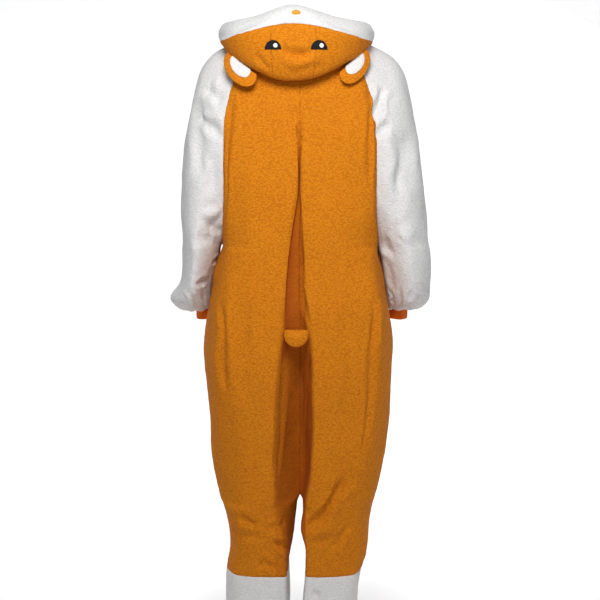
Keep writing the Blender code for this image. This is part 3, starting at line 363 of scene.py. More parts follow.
# Seams: how far each piece stays back from them, how deep and wide the cloth rolls down into them,
# the share of that depth on the hood, and the cloth's puckers beside them
SEAM_INSET = 0.00003
SEAM_DEPTH = 0.0013
SEAM_WIDTH = 0.0042
SEAM_ROLL = 2.2
HOOD_SEAM = 0.8
PUCKER_HEIGHT = 0.0009
PUCKER_REACH = 0.010
PUCKER_REACHES = 3
PUCKER_LENGTH = 0.011
PUCKER_SEED = 3
# How far the rounded edge of a hem stands out
HEM_BULGE = 0.0008

# Creases. width: half width. depth: below nought where the crease goes in. bias: how much steeper
# its right flank is. lip: how far the cloth rises again beside it. along: the places it goes through.
# Back creases are placed as seen by the camera, in steps from the top left of its picture, front ones
# by x and z.
SEEN_STEP = 0.0022
SEEN_MIDDLE = 300
CREASE_STEP = 0.003
CREASE_REACH = 3.2
LIP_AT, LIP_SHARPNESS = 1.9, 1.6
# How fast a crease grows from its ends, and what is left of it there
TAPER_RATE, TAPER_START = 4, 0.05
# Cloth that turns further away than this has none of it
CREASE_FACING = -0.2
# How much a crease's width wavers along it, how often, and how it differs from one crease to the next
WAVER, WAVER_RATE, WAVER_SHIFT = 0.25, 9, 2.3
Crease = namedtuple("Crease", "width depth bias lip along")
BACK_CREASES = (
    # Left sleeve, from the shoulder down
    Crease(0.009, -0.0069, 0.3, 0.25, ((204, 88), (213, 96), (223, 103))),
    Crease(0.009, -0.0095, 0.2, 0.30, ((196, 117), (209, 127), (223, 137))),
    Crease(0.019, -0.0080, 0.3, 0.30, ((196, 96), (197, 125), (199, 155), (201, 185))),
    Crease(0.010, -0.0057, 0.0, 0.30, ((214, 150), (213, 172), (209, 196))),
    Crease(0.009, 0.0075, 0.2, 0.40, ((224, 207), (213, 212), (200, 215))),
    Crease(0.009, -0.0075, 0.2, 0.25, ((206, 225), (213, 228), (221, 233))),
    Crease(0.006, -0.0050, 0.0, 0.30, ((220, 238), (219, 252), (216, 268), (211, 283))),
    Crease(0.007, -0.0063, 0.0, 0.30, ((209, 280), (199, 282), (189, 281))),
    Crease(0.012, -0.0045, 0.0, 0.30, ((195, 234), (204, 238), (214, 236))),
    # Right sleeve, from the shoulder down
    Crease(0.008, -0.0110, -0.2, 0.40, ((385, 86), (380, 104), (374, 124))),
    Crease(0.008, -0.0086, -0.2, 0.30, ((391, 123), (383, 130), (375, 137))),
    Crease(0.019, -0.0080, 0.3, 0.30, ((399, 130), (402, 150), (402, 170), (399, 195))),
    Crease(0.012, -0.0045, 0.0, 0.30, ((399, 165), (398, 190), (393, 225))),
    Crease(0.012, -0.0065, 0.2, 0.30, ((377, 240), (386, 249), (396, 253))),
    Crease(0.015, 0.0055, 0.2, 0.25, ((428, 214), (414, 226), (400, 240))),
    Crease(0.010, -0.0035, 0.0, 0.20, ((389, 262), (391, 277), (396, 292))),
    # Beside the raglan seams and down the hips
    Crease(0.005, -0.0063, 0.3, 0.40, ((236, 84), (230, 112), (227, 150), (226, 190), (225, 228))),
    Crease(0.005, -0.0052, -0.3, 0.40, ((367, 84), (370, 115), (370, 150), (371, 190))),
    Crease(
        0.008, -0.0055, 0.2, 0.35,
        ((373, 292), (373, 330), (371, 361), (370, 392), (367, 422), (360, 462)),
    ),
    Crease(0.009, 0.0035, 0.0, 0.20, ((379, 296), (379, 326), (378, 355))),
    Crease(0.009, -0.0069, 0.0, 0.35, ((221, 296), (223, 330), (223, 362), (226, 396))),
    Crease(0.011, -0.0035, 0.0, 0.20, ((385, 262), (386, 320), (384, 380), (379, 435))),
    Crease(0.012, -0.0030, 0.0, 0.20, ((345, 300), (348, 350), (347, 400), (341, 450))),
    Crease(0.014, -0.0030, 0.0, 0.20, ((247, 300), (244, 350), (247, 410))),
    # Knees and lower legs
    Crease(0.008, -0.0057, 0.0, 0.25, ((238, 515), (248, 521), (258, 526))),
    Crease(0.009, -0.0110, 0.3, 0.40, ((345, 476), (333, 497), (320, 515), (305, 530))),
    Crease(0.008, -0.0075, 0.0, 0.30, ((289, 548), (280, 545), (271, 542))),
    Crease(0.009, -0.0063, 0.0, 0.25, ((258, 562), (268, 566), (278, 567))),
    Crease(0.009, -0.0057, 0.0, 0.25, ((352, 520), (340, 538), (328, 552))),
    Crease(0.008, -0.0063, 0.0, 0.25, ((304, 582), (312, 591), (321, 599))),
    # Hood
    Crease(0.009, 0.0046, 0.0, 0.25, ((282, 58), (296, 64), (312, 60), (326, 54))),
    Crease(0.007, -0.0085, 0.2, 0.35, ((280, 47), (290, 54), (303, 55), (313, 50))),
    Crease(0.006, -0.0034, 0.0, 0.25, ((256, 52), (262, 62), (272, 70))),
    # Lips of the centre back fold, above and below the tail, and the cloth drawn up at the tail's root
    Crease(
        0.0050, -0.0060, 0.5, 0.30,
        ((301, 142), (300, 180), (295, 215), (291, 250), (288, 290), (285, 328)),
    ),
    Crease(0.0060, -0.0050, -0.5, 0.30, ((302, 258), (304, 285), (308, 315), (311, 329))),
    Crease(0.0060, -0.0080, 0.5, 0.30, ((283, 352), (281, 400), (279, 450), (276, 494))),
    Crease(0.0060, -0.0060, -0.5, 0.30, ((311, 352), (308, 400), (305, 450), (303, 492))),
    Crease(0.0040, 0.0022, 0.0, 0.20, ((281, 329), (296, 328), (312, 329))),
    # Backs of the knees
    Crease(0.010, -0.0050, 0.2, 0.30, ((232, 532), (246, 537), (262, 536))),
    Crease(0.008, -0.0045, 0.2, 0.30, ((286, 520), (276, 527), (264, 529))),
    Crease(0.009, -0.0045, 0.2, 0.30, ((310, 545), (324, 541), (338, 534))),
    # Gathers over the cuffs, right and left
    Crease(0.0045, -0.0040, 0.0, 0.40, ((391, 289), (393, 297), (393, 304))),
    Crease(0.0045, -0.0045, 0.0, 0.40, ((401, 286), (401, 296), (400, 304))),
    Crease(0.0045, -0.0040, 0.0, 0.40, ((413, 287), (410, 296), (406, 303))),
    Crease(0.0045, -0.0040, 0.0, 0.40, ((187, 287), (193, 297), (198, 305))),
    Crease(0.0045, -0.0045, 0.0, 0.40, ((200, 286), (203, 296), (205, 305))),
    Crease(0.0045, -0.0040, 0.0, 0.40, ((212, 288), (211, 297), (210, 305))),
)
FRONT_CREASES = (
    # Sleeves and underarms, then thighs, knees and calves, each right and left
    Crease(0.012, -0.0080, 0.0, 0.30, ((0.200, -0.21), (0.204, -0.28), (0.215, -0.36))),
    Crease(0.011, -0.0075, 0.0, 0.30, ((-0.205, -0.18), (-0.212, -0.26), (-0.222, -0.33))),
    Crease(0.009, -0.0069, 0.2, 0.30, ((0.196, -0.44), (0.222, -0.455), (0.250, -0.45))),
    Crease(0.009, -0.0069, 0.2, 0.30, ((-0.190, -0.43), (-0.214, -0.45), (-0.240, -0.46))),
    Crease(0.009, -0.0063, 0.2, 0.30, ((0.150, -0.115), (0.168, -0.135), (0.190, -0.145))),
    Crease(0.009, -0.0063, -0.2, 0.30, ((-0.142, -0.12), (-0.165, -0.14), (-0.186, -0.155))),
    Crease(0.010, -0.0063, 0.0, 0.30, ((0.110, -0.60), (0.118, -0.72), (0.112, -0.86))),
    Crease(0.010, -0.0063, 0.0, 0.30, ((-0.112, -0.64), (-0.122, -0.76), (-0.110, -0.90))),
    Crease(0.009, -0.0080, 0.3, 0.35, ((0.030, -0.99), (0.062, -1.02), (0.100, -1.03))),
    Crease(0.009, -0.0080, 0.3, 0.35, ((-0.034, -0.98), (-0.066, -1.00), (-0.105, -1.015))),
    Crease(0.009, -0.0063, 0.0, 0.30, ((0.120, -1.10), (0.090, -1.125), (0.055, -1.13))),
    Crease(0.009, -0.0063, 0.0, 0.30, ((-0.128, -1.09), (-0.100, -1.12), (-0.066, -1.13))),
)

# Slack cloth. size: how long a wave is in each direction. height: how high it stands.
# The seeds take their waves from places this far apart in the noise.
SEED_STEP = 17.3
Rumple = namedtuple("Rumple", "size height seed")
RUMPLES = (
    Rumple((0.060, 0.060, 0.120), 0.0042, 1),
    Rumple((0.030, 0.030, 0.060), 0.0015, 2),
    Rumple((0.012, 0.012, 0.014), 0.0006, 3),
)
# Where the cloth hangs too firmly to rumple: from this height up, and down at the hems
FIRM_FROM, FIRM_OVER, FIRM_SHARE = -0.12, 0.10, 0.7
HEM_FROM, HEM_OVER, HEM_SHARE = -1.34, 0.05, 0.6

# Shade in the centre back fold: how far past its lips and how deep it starts, over what width and depth
# it grows, its top, the height below which it is lighter on the left, and how dark it is on the left and
# on the right, above that height and below it
SHADE_MARGIN, SHADE_WIDTH = 0.002, 0.004
SHADE_START, SHADE_DEPTH = 0.001, 0.012
SHADE_TOP = -0.12
SHADE_TURN, SHADE_TURN_OVER = -0.66, 0.04
SHADE_ABOVE = (1.0, 0.35)
SHADE_BELOW = (0.2, 0.75)

# Fleece: its pebbles' width and height on the cloth, how deep the hollows between them are, and the
# fibres of its nap. Real pebbles are about 2 mm across, which the picture is too coarse to show, so
# they are drawn about twice that size.
PEBBLE_WIDE = 0.0050
PEBBLE_HIGH = 0.0029
PEBBLE_DEPTH = 0.0012
PEBBLE_DRIFT = 0.0008
PEBBLE_DRIFT_SIZE = 0.010 / 3
NAP_SIZE = 0.005 / 7
DYE_PATCH = 0.0625
# How the cloth falls away from a pebble's middle and how high that is, and the shares of the nap's
# fibres in the height and of the uneven dye in the tone
PEBBLE_FALL, PEBBLE_TOP = -1.05, 0.96
NAP_SHARE, DYE_SHARE = 0.10, 0.06
# Tones at which the fleece has its deep, base and light colour, the deep one painted shade in the pebbles'
# hollows and the light one a painted highlight on their tops, and fine cloth its deep and light one
DEEP_AT, BASE_AT, LIGHT_AT = 0.30, 0.62, 1.0
FIBRE_DEEP_AT, FIBRE_LIGHT_AT = 0.3, 0.7

# Sewing thread: a stitch's thickness and length, and how far it stands off the cloth
THREAD_SIZE = (0.00038, 0.00038, 0.00125)
THREAD_LIFT = 0.0002
STITCH_STEP = 0.0034
FELT_STITCH_STEP = 0.0026
BUTTON_THREAD_STEP = 0.0016
# How far in from the open edges, and from the hood band's seam, the stitches run
HEM_STITCH_IN = {"hood": 0.014, "placket": 0.0035, "leg": 0.016}
BAND_STITCH_IN = 0.004

# Stuffed forms: points between two of their outline's, the rings of each face as shares of the way
# out, where the pinch at the seam starts, and how the cloth puffs along it
FORM_STEPS = 4
FORM_SHARES = (0.12, 0.3, 0.48, 0.64, 0.78, 0.88, 0.94, 0.975)
FORM_SEAM = 0.992
PINCH_FROM = 0.8
PUFF_HEIGHT, PUFF_RATE = 0.16, 260
# Share of the ear's height at which its white inside starts
EAR_LINING_AT = 0.06
# Shares of an inset shape, and of its wall, from the middle of its underside to the middle of its top
INSET_RINGS = ((0.2, 0), (0.5, 0), (0.8, 0), (1.0, 0))
EAR_INSET = (*INSET_RINGS, (1.0, 0.6), (0.97, 0.9), (0.9, 1), (0.7, 1), (0.5, 1), (0.25, 1))
FELT_INSET = (*INSET_RINGS, (1.0, 0.6), (0.975, 0.92), (0.93, 1), (0.75, 1), (0.5, 1), (0.25, 1))
# The felt feels for its carrier from this far behind, and this far to the sides of a seam
FELT_FROM, FELT_PROBE = 0.2, 0.0009
# Where its stitches run, as a share of the way out
FELT_STITCH_AT = 0.88
GLINT_AT = (0.005, 0.42)
# Buttons: their sides, the steps along each part of the profile, and the four holes
BUTTON_SIDES, QUICK_BUTTON_SIDES = 48, 20
BUTTON_STEPS = (0.12, 0.5, 0.88, 1.0)
BUTTON_HOLE = 0.0009
BUTTON_HOLE_AT = 0.0019
HOLE_SIDES = 16
BUTTON_THREAD_AT = 0.6

# The record of a draped piece's flat cut: width and length in metres, area in square metres
Cut = namedtuple("Cut", "width length area")

# Studio light
# The paper's run from under the camera to its top edge: y, and how high it is above the floor there.
# It glows behind the garment, from no glow at the first of these y to all of it at the second.
PAPER_RUN = ((-5.0, 0.0), (2.0, 0.0), (2.6, 0.08), (3.1, 0.35), (3.4, 0.9), (3.5, 4.0 - FLOOR_Z))
PAPER_HALF_WIDTH = 6.0
PAPER_GLOW_Y = (-0.1, 0.5)
PAPER_GLOW = 0.56
WORLD_LIGHT = 0.25
Light = namedtuple("Light", "name place size power")
LIGHT_AIM = Vector((0, 0, -0.6))
LIGHTS = (
    Light("key", (-0.06, -1.35, 0.55), 0.55, 22.5),
    Light("fill", (2.0, -3.0, -0.4), 2.2, 9),
    Light("front", (0.8, 3.2, 1.0), 2.0, 26),
)


def lerp(a, b, share):
    return a + (b - a) * share


def smooth(share):
    return share * share * (3 - 2 * share)


def spline(points, counts, closed=False):
    """Points along a smooth curve through the stations, counts[i] steps after station i."""
    last = len(points)
    found = []
    for i, count in enumerate(counts):
        p1, p2 = points[i], points[(i + 1) % last]
        p0 = points[i - 1] if closed or i > 0 else p1 * 2 - p2
        p3 = points[(i + 2) % last] if closed or i + 2 < last else p2 * 2 - p1
        reach = (p2 - p1).length
        start = (p2 - p0) * (reach / max((p2 - p1).length + (p1 - p0).length, 1e-9))
        end = (p3 - p1) * (reach / max((p3 - p2).length + (p2 - p1).length, 1e-9))
        for k in range(count):
            t = k / count
            found.append(
                p1 * (2 * t**3 - 3 * t**2 + 1)
                + start * (t**3 - 2 * t**2 + t)
                + p2 * (3 * t**2 - 2 * t**3)
                + end * (t**3 - t**2)
            )
    return found if closed else [*found, points[-1].copy()]


def back_stations(side, row, z, edge_x, edge_y, seam):
    """Centre back, wall and lip of the fold, blade, edge and side seam of a half back."""
    lip = row.lip_right if side == RIGHT else row.lip_left
    return [
        Vector((0, row.back + row.pleat, z)),
        Vector((side * lip * FOLD_WALL_X, row.back + row.pleat * FOLD_WALL_IN, z)),
        Vector((side * lip, row.back + row.pleat * FOLD_LIP_IN, z)),
        Vector((side * lerp(lip, edge_x, BLADE_X), row.back, z)),
        Vector((side * edge_x, edge_y, z)),
        seam,
    ]


def front_stations(side, row, seam, seam_share, z, dip):
    """Side-front seam line, belly seam, placket edge and centre front of a half front."""
    x = abs(seam.x)
    return [
        seam,
        Vector((side * x * seam_share, row.front * BELLY_Y, lerp(z, seam.z, BELLY_DROP))),
        Vector((side * PLACKET_HALF_WIDTH, row.front - dip * PLACKET_DIP, z)),
        Vector((0, row.front - dip, z)),
    ]


def arm_stations(side, row, seam_back, seam_front):
    out = row.arm_right if side == RIGHT else row.arm_left
    middle = (row.arm_back + row.arm_front) / 2
    depth = (row.arm_front - row.arm_back) / 2
    found = [seam_back]
    for angle in ARM_ANGLES:
        turn = radians(angle)
        x = row.arm_mid + (out - row.arm_mid) * sin(turn)
        y = middle - depth * cos(turn)
        edge = seam_back if angle < 90 else seam_front
        level = lerp(ARM_LEVEL, 1, sin(turn))
        found.append(Vector((side * x, y, lerp(edge.z, row.z_arm, level))))
    return [*found, seam_front]


def rounded(point, row, share):
    """The point moved this share of the way to the ellipse of its ring's own width and depth."""
    half_x, half_y = (row.arm_left + row.arm_right) / 2, (row.front - row.back) / 2
    middle = (row.back + row.front) / 2
    way = Vector((point.x / half_x, (point.y - middle) / half_y)).normalized()
    goal = Vector((way.x * half_x, middle + way.y * half_y, point.z))
    return point.lerp(goal, share)


def yoke_ring(row):
    """The spans of one yoke ring on each side: half back, outer arm and half front."""
    spans = {}
    for side in (RIGHT, LEFT):
        z_back = lerp(row.z_back, row.z_arm, YOKE_SEAM_DROP)
        z_front = lerp(row.z_front, row.z_arm, YOKE_SEAM_DROP)
        seam_back = Vector((side * row.seam_x, row.seam_back, z_back))
        seam_front = Vector((side * row.seam_x, row.seam_front, z_front))
        edge_x = row.seam_x * YOKE_EDGE_X
        edge_y = lerp(row.back, row.seam_back, YOKE_EDGE_IN)
        back = back_stations(side, row, row.z_back, edge_x, edge_y, seam_back)
        front = front_stations(side, row, seam_front, YOKE_BELLY_X, row.z_front, 0)
        spans[side, "back"] = spline(back, BACK_COUNTS)
        spans[side, "arm"] = spline(arm_stations(side, row, seam_back, seam_front), ARM_COUNTS)
        spans[side, "front"] = spline(front, FRONT_COUNTS)
    return spans


def trunk_ring(row):
    """The spans of one ring of the body: half back, flank and half front on each side."""
    stations = {}
    for side in (RIGHT, LEFT):
        half = row.half_right if side == RIGHT else row.half_left
        rear_x = lerp(half, lerp(row.edge, half, REAR_X), row.free)
        rear = Vector((side * rear_x, lerp(REAR_Y, row.back * REAR_DEEP, row.free), row.z))
        flank = Vector((side * half, FLANK_Y * row.free, row.z))
        fore_x = half - FORE_NARROWING * row.free
        fore = Vector((side * fore_x, lerp(FORE_Y, row.front * FORE_DEEP, row.free), row.z))
        edge_y = row.back * lerp(TURN_AT_ARM, TURN_FREE, row.free)
        belly_x = lerp(YOKE_BELLY_X, TRUNK_BELLY_X, row.free)
        back = back_stations(side, row, row.z, row.edge, edge_y, rear)
        front = front_stations(side, row, fore, belly_x, row.z, row.dip)
        stations[side] = [*back, flank, *front]
    loop = [*stations[RIGHT], *reversed(stations[LEFT][1:-1])]
    counts = (*BACK_COUNTS, *FLANK_COUNTS, *FRONT_COUNTS)
    points = spline(loop, [*counts, *reversed(counts)], closed=True)
    half_ring = len(points) // 2
    halves = {RIGHT: points[: half_ring + 1], LEFT: [points[0], *reversed(points[half_ring:])]}
    spans = {}
    for side, run in halves.items():
        a, b = sum(BACK_COUNTS), sum(BACK_COUNTS + FLANK_COUNTS)
        spans[side, "back"] = run[: a + 1]
        spans[side, "flank"] = run[a : b + 1]
        spans[side, "front"] = run[b:]
    return spans


def leg_ring(side, row, seam_rise):
    """The spans of one leg ring: half back, flank, half front and the inside leg from front to back."""
    ends = {"lip": (row.lip, row.out), "inner": (row.inner, row.out), "inside": (row.lip, row.inner)}
    loop = []
    for station in LEG_STATIONS:
        x = lerp(*ends[station.run], station.across)
        loop.append(Vector((side * x, lerp(row.back, row.front, station.along), row.z)))
    counts = (*BACK_COUNTS, *FLANK_COUNTS, *FRONT_COUNTS, *FLANK_COUNTS)
    points = spline(loop, counts, closed=True)
    for point in points:
        point.z += seam_rise * smooth(min(max((point.y - row.back) / (row.front - row.back), 0), 1))
    a, b = sum(BACK_COUNTS), sum(BACK_COUNTS + FLANK_COUNTS)
    c = b + sum(FRONT_COUNTS)
    return {
        "back": points[: a + 1],
        "flank": points[a : b + 1],
        "front": points[b : c + 1],
        "inside": [*points[c:], points[0]],
    }


def sleeve_ring(side, row):
    """The spans of one sleeve ring: the outer arm from back to front, and the side that faces the body."""
    middle = (row.back + row.front) / 2
    depth = (row.front - row.back) / 2
    outer = []
    for angle in ARM_ANGLES:
        turn = radians(angle)
        x = row.mid + (row.out - row.mid) * sin(turn)
        outer.append(Vector((side * x, middle - depth * cos(turn), row.z)))
    inner_front = Vector((side * row.in_front, middle + depth * SLEEVE_TURN, row.z))
    inner = Vector((side * lerp(row.in_back, row.in_front, 0.5), middle, row.z))
    inner_back = Vector((side * row.in_back, middle - depth * SLEEVE_TURN, row.z))
    loop = [inner_back, *outer, inner_front, inner]
    points = spline(loop, (*ARM_COUNTS, *FLANK_COUNTS), closed=True)
    arm = sum(ARM_COUNTS)
    return {"arm": points[: arm + 1], "flank": list(reversed([*points[arm:], points[0]]))}


def cuff_point(side, turn, half_x, half_y, z):
    x, y = CUFF_CENTRE[side]
    return Vector((x + side * half_x * sin(turn), y - half_y * cos(turn), z))


def gathered(ring, side):
    """The blouse's underside with its gathers, and its edge over the top of the cuff."""
    centre = Vector(CUFF_CENTRE[side])
    half_x, half_y = CUFF_HALF_X - CUFF_WALL, CUFF_HALF_Y - CUFF_WALL
    under, edge = {}, {}
    for span, points in ring.items():
        under[span], edge[span] = [], []
        for number, point in enumerate(points):
            outward = point.to_2d() - centre
            turn = atan2(side * outward.x / half_x, -outward.y / half_y)
            goal = cuff_point(side, turn, half_x, half_y, CUFF_TOP)
            full = min((point - goal).to_2d().length / GATHER_FULL_AT, 1)
            gather = GATHER_HEIGHT * (1 if number % 2 else GATHER_DIP)
            middle = point.lerp(goal, UNDER_SHARE)
            middle.z = CUFF_TOP - full * (UNDER_SAG + gather) + (1 - full) * UNDER_SAG
            under[span].append(middle)
            edge[span].append(goal)
    return under, edge


class Skin:
    """Shared points and the quads between them, each quad belonging to one cut piece."""

    def __init__(self):
        self.points = []
        self.faces = []

    def add(self, points):
        first = len(self.points)
        self.points += [Vector(p) for p in points]
        return list(range(first, len(self.points)))

    def loft(self, upper, lower, piece_at):
        """Quads between two runs of points. The runs go anticlockwise seen from above."""
        for i in range(len(upper) - 1):
            quad = (upper[i], lower[i], lower[i + 1], upper[i + 1])
            self.faces.append((quad, piece_at(i)))


class Onesie(Skin):
    """The garment's skin, ring by ring."""

    def __init__(self):
        super().__init__()
        self.centre_front = []
        self.placket_edge = {RIGHT: [], LEFT: []}
        self.build_yoke()
        self.build_sleeves()
        self.build_trunk()
        self.build_legs()
        self.build_hood()

    def quads(self, side, upper, lower, piece_at):
        if side == RIGHT:
            self.loft(upper, lower, piece_at)
        else:
            count = len(upper) - 1
            self.loft(upper[::-1], lower[::-1], lambda i: piece_at(count - 1 - i))

    def add_spans(self, spans):
        """Indices of a ring's spans, with the points that two spans share added once."""
        placed, found = {}, {}
        for key, run in spans.items():
            indices = []
            for point in run:
                tag = tuple(round(v, 7) for v in point)
                if tag not in placed:
                    placed[tag] = self.add([point])[0]
                indices.append(placed[tag])
            found[key] = indices
        return found

    def note_front(self, ring):
        self.centre_front.append(ring[RIGHT, "front"][-1])
        for side in (RIGHT, LEFT):
            self.placket_edge[side].append(ring[side, "front"][-2])

    def front_piece(self, side):
        name = SIDE_NAME[side]
        belly = FRONT_COUNTS[0]
        return lambda i: f"side_front_{name}" if i < belly else f"front_{name}"

    def join(self, upper, lower, side):
        name = SIDE_NAME[side]
        self.quads(side, upper[side, "back"], lower[side, "back"], lambda i: f"back_{name}")
        self.quads(side, upper[side, "front"], lower[side, "front"], self.front_piece(side))

    def build_yoke(self):
        rings = [yoke_ring(row) for row in YOKE]
        for row, ring, share in zip(YOKE, rings, NECK_ROUND):
            for span, run in ring.items():
                ring[span] = [rounded(point, row, share) for point in run]
        self.yoke = [self.add_spans(ring) for ring in rings]
        for ring in self.yoke:
            self.note_front(ring)
        for upper, lower in zip(self.yoke, self.yoke[1:]):
            for side in (RIGHT, LEFT):
                self.join(upper, lower, side)
                sleeve = f"sleeve_{SIDE_NAME[side]}"
                self.quads(side, upper[side, "arm"], lower[side, "arm"], lambda i, s=sleeve: s)
        self.bridge = {}
        for side in (RIGHT, LEFT):
            ends = self.yoke[-1][side, "back"][-1], self.yoke[-1][side, "front"][0]
            a, b = (self.points[i] for i in ends)
            count = sum(FLANK_COUNTS)
            inner = []
            for k in range(1, count):
                point = a.lerp(b, k / count)
                point.z -= UNDERARM_DROP * sin(pi * k / count)
                inner.append(point)
            self.bridge[side] = [ends[0], *self.add(inner), ends[1]]

    def build_sleeves(self):
        for side in (RIGHT, LEFT):
            sleeve = f"sleeve_{SIDE_NAME[side]}"
            rows = [sleeve_ring(side, row) for row in SLEEVE[side]]
            rows += gathered(rows[-1], side)
            rings = [{"arm": self.yoke[-1][side, "arm"], "flank": self.bridge[side]}]
            rings += [self.add_spans(row) for row in rows]
            for upper, lower in zip(rings, rings[1:]):
                self.quads(side, upper["arm"], lower["arm"], lambda i, s=sleeve: s)
                self.quads(side, upper["flank"][::-1], lower["flank"][::-1], lambda i, s=sleeve: s)

    def flank_piece(self, side):
        name = SIDE_NAME[side]
        return lambda i: f"back_{name}" if i < FLANK_COUNTS[0] else f"side_front_{name}"

    def build_trunk(self):
        upper = dict(self.yoke[-1])
        for side in (RIGHT, LEFT):
            upper[side, "flank"] = self.bridge[side]
        for row in TRUNK:
            lower = self.add_spans(trunk_ring(row))
            self.note_front(lower)
            for side in (RIGHT, LEFT):
                self.join(upper, lower, side)
                self.quads(side, upper[side, "flank"], lower[side, "flank"], self.flank_piece(side))
            upper = lower
        self.hips = upper
        back, front = self.hips[RIGHT, "back"][0], self.hips[RIGHT, "front"][-1]
        count = sum(FLANK_COUNTS)
        a, b = self.points[back], self.points[front]
        inner = self.add([b.lerp(a, k / count) for k in range(1, count)])
        self.crotch = [front, *inner, back]

    def build_legs(self):
        for side in (RIGHT, LEFT):
            name = SIDE_NAME[side]
            upper = {span: self.hips[side, span] for span in ("back", "flank", "front")}
            upper["inside"] = self.crotch
            for number, row in enumerate(LEG[side]):
                rise = LEG_SEAM_DROP * 2 if number == LOWER_LEG_ROW else 0
                lower = self.add_spans(leg_ring(side, row, rise))
                low = number > LOWER_LEG_ROW

                def piece(span, i, low=low, name=name):
                    if low:
                        return f"lower_leg_{name}"
                    if span == "back":
                        return f"back_{name}"
                    if span == "flank":
                        return self.flank_piece(RIGHT if name == "right" else LEFT)(i)
                    if span == "front":
                        return f"side_front_{name}" if i < FRONT_COUNTS[0] else f"front_{name}"
                    return f"front_{name}" if i < FLANK_COUNTS[0] else f"back_{name}"

                for span in ("back", "flank", "front", "inside"):
                    self.quads(side, upper[span], lower[span], lambda i, s=span, p=piece: p(s, i))
                upper = lower

    def build_hood(self):
        """The hood goes on from the neck ring's own columns, and its last row is the rim."""
        neck = self.yoke[0]
        columns = neck[LEFT, "front"][::-1] + neck[LEFT, "arm"][-2::-1] + neck[LEFT, "back"][-2::-1]
        columns += neck[RIGHT, "back"][1:] + neck[RIGHT, "arm"][1:] + neck[RIGHT, "front"][1:]
        self.hood = [columns]
        base = [self.points[i] for i in columns]
        for number, row in enumerate(HOOD, 1):
            lean = HOOD_LEAN * min(number / HOOD_FOLD_ROW, 1) ** 2
            ring = [hood_point(point, row, lean) for point in base]
            ring[0].x -= HOOD_OPENING / 2
            ring[-1].x += HOOD_OPENING / 2
            self.hood.append(self.add(ring))
        back = sum(BACK_COUNTS) + sum(ARM_COUNTS) + sum(FRONT_COUNTS)
        strip = BACK_COUNTS[0] + BACK_COUNTS[1]

        def crown(i):
            if back - strip <= i < back + strip:
                return "hood_centre"
            return "hood_side_left" if i < back else "hood_side_right"

        for number, (lower, upper) in enumerate(zip(self.hood, self.hood[1:])):
            self.loft(upper, lower, crown if number < HOOD_BAND_ROW else lambda i: "hood_band")


def hood_point(base, row, lean):
    """A point of the hood over one point of the neck ring. Lean is how far its back falls to the left."""
    outward = Vector((base.x, base.y - NECK_CENTRE_Y, 0))
    turn = abs(Vector((0, -1, 0)).angle(outward)) / (pi / 2)
    outward.normalize()
    share = smooth(min(turn, 1))
    rise = smooth(min(turn * row.reach, 1))
    lean *= 1 - share / 2
    out, up = lerp(row.back_out, row.side_out, share), lerp(row.back_up, row.side_up, rise)
    out *= 1 + HOOD_BULGE * sin(pi * min(turn, 1)) ** 2
    if turn > 1:
        share = smooth(turn - 1)
        out, up = lerp(row.side_out, row.front_out, share), lerp(row.side_up, row.front_up, share)
    return base + outward * out + Vector((lean, 0, up))


def smoothed(share):
    share = np.clip(share, 0, 1)
    return share * share * (3 - 2 * share)


def unit(vectors):
    return vectors / np.maximum(np.linalg.norm(vectors, axis=1, keepdims=True), 1e-12)


def corner_normals(points, quads):
    flat = np.cross(points[quads[:, 2]] - points[quads[:, 0]], points[quads[:, 3]] - points[quads[:, 1]])
    total = np.zeros_like(points)
    for corner in range(4):
        np.add.at(total, quads[:, corner], flat)
    return unit(total)


def refine(skin, level):
    """The skin as one smooth mesh through its own points: points, quads and each quad's piece and strip."""
    names = sorted({piece for _, piece in skin.faces})
    strip = placket_quads(skin)
    mesh = bpy.data.meshes.new("skin")
    mesh.from_pydata(skin.points, [], [quad for quad, _ in skin.faces])
    piece_of = mesh.attributes.new("piece", "INT", "FACE")
    piece_of.data.foreach_set("value", [names.index(piece) for _, piece in skin.faces])
    strip_of = mesh.attributes.new("strip", "INT", "FACE")
    strip_of.data.foreach_set("value", [int(frozenset(quad) in strip) for quad, _ in skin.faces])
    obj = bpy.data.objects.new("skin", mesh)
    bpy.context.scene.collection.objects.link(obj)
    refiner = obj.modifiers.new("refine", "SUBSURF")
    refiner.levels = refiner.render_levels = 1
    goal = np.array(skin.points)
    control = goal.copy()
    for _ in range(FIT_ROUNDS):
        mesh.vertices.foreach_set("co", control.ravel())
        mesh.update()
        found = evaluated(obj)
        now = np.empty(len(found.vertices) * 3)
        found.vertices.foreach_get("co", now)
        control += goal - now.reshape(-1, 3)[: len(goal)]
        bpy.data.meshes.remove(found)
    mesh.vertices.foreach_set("co", control.ravel())
    mesh.update()
    refiner.levels = refiner.render_levels = level
    fine = evaluated(obj)
    points = np.empty(len(fine.vertices) * 3)
    fine.vertices.foreach_get("co", points)
    quads = np.empty(len(fine.loops), dtype=np.int64)
    fine.loops.foreach_get("vertex_index", quads)
    marks = []
    for name in ("piece", "strip"):
        mark = np.empty(len(fine.polygons), dtype=np.int32)
        fine.attributes[name].data.foreach_get("value", mark)
        marks.append(mark)
    bpy.data.objects.remove(obj)
    return names, points.reshape(-1, 3), quads.reshape(-1, 4), marks[0], marks[1]


def evaluated(obj):
    return bpy.data.meshes.new_from_object(obj.evaluated_get(bpy.context.evaluated_depsgraph_get()))


def placket_quads(skin):
    first, last = PLACKET_ROWS
    found = set()
    for side in (RIGHT, LEFT):
        edge, middle = skin.placket_edge[side], skin.centre_front
        for k in range(first, last):
            found.add(frozenset((edge[k], edge[k + 1], middle[k + 1], middle[k])))
    return found


def once_used(quads):
    """The edges that only one of these quads has, in the order in which that quad runs along them."""
    runs = np.concatenate([quads[:, [k, (k + 1) % 4]] for k in range(4)])
    keys = np.sort(runs, axis=1)
    _, index, count = np.unique(keys, axis=0, return_index=True, return_counts=True)
    return runs[index[count == 1]]


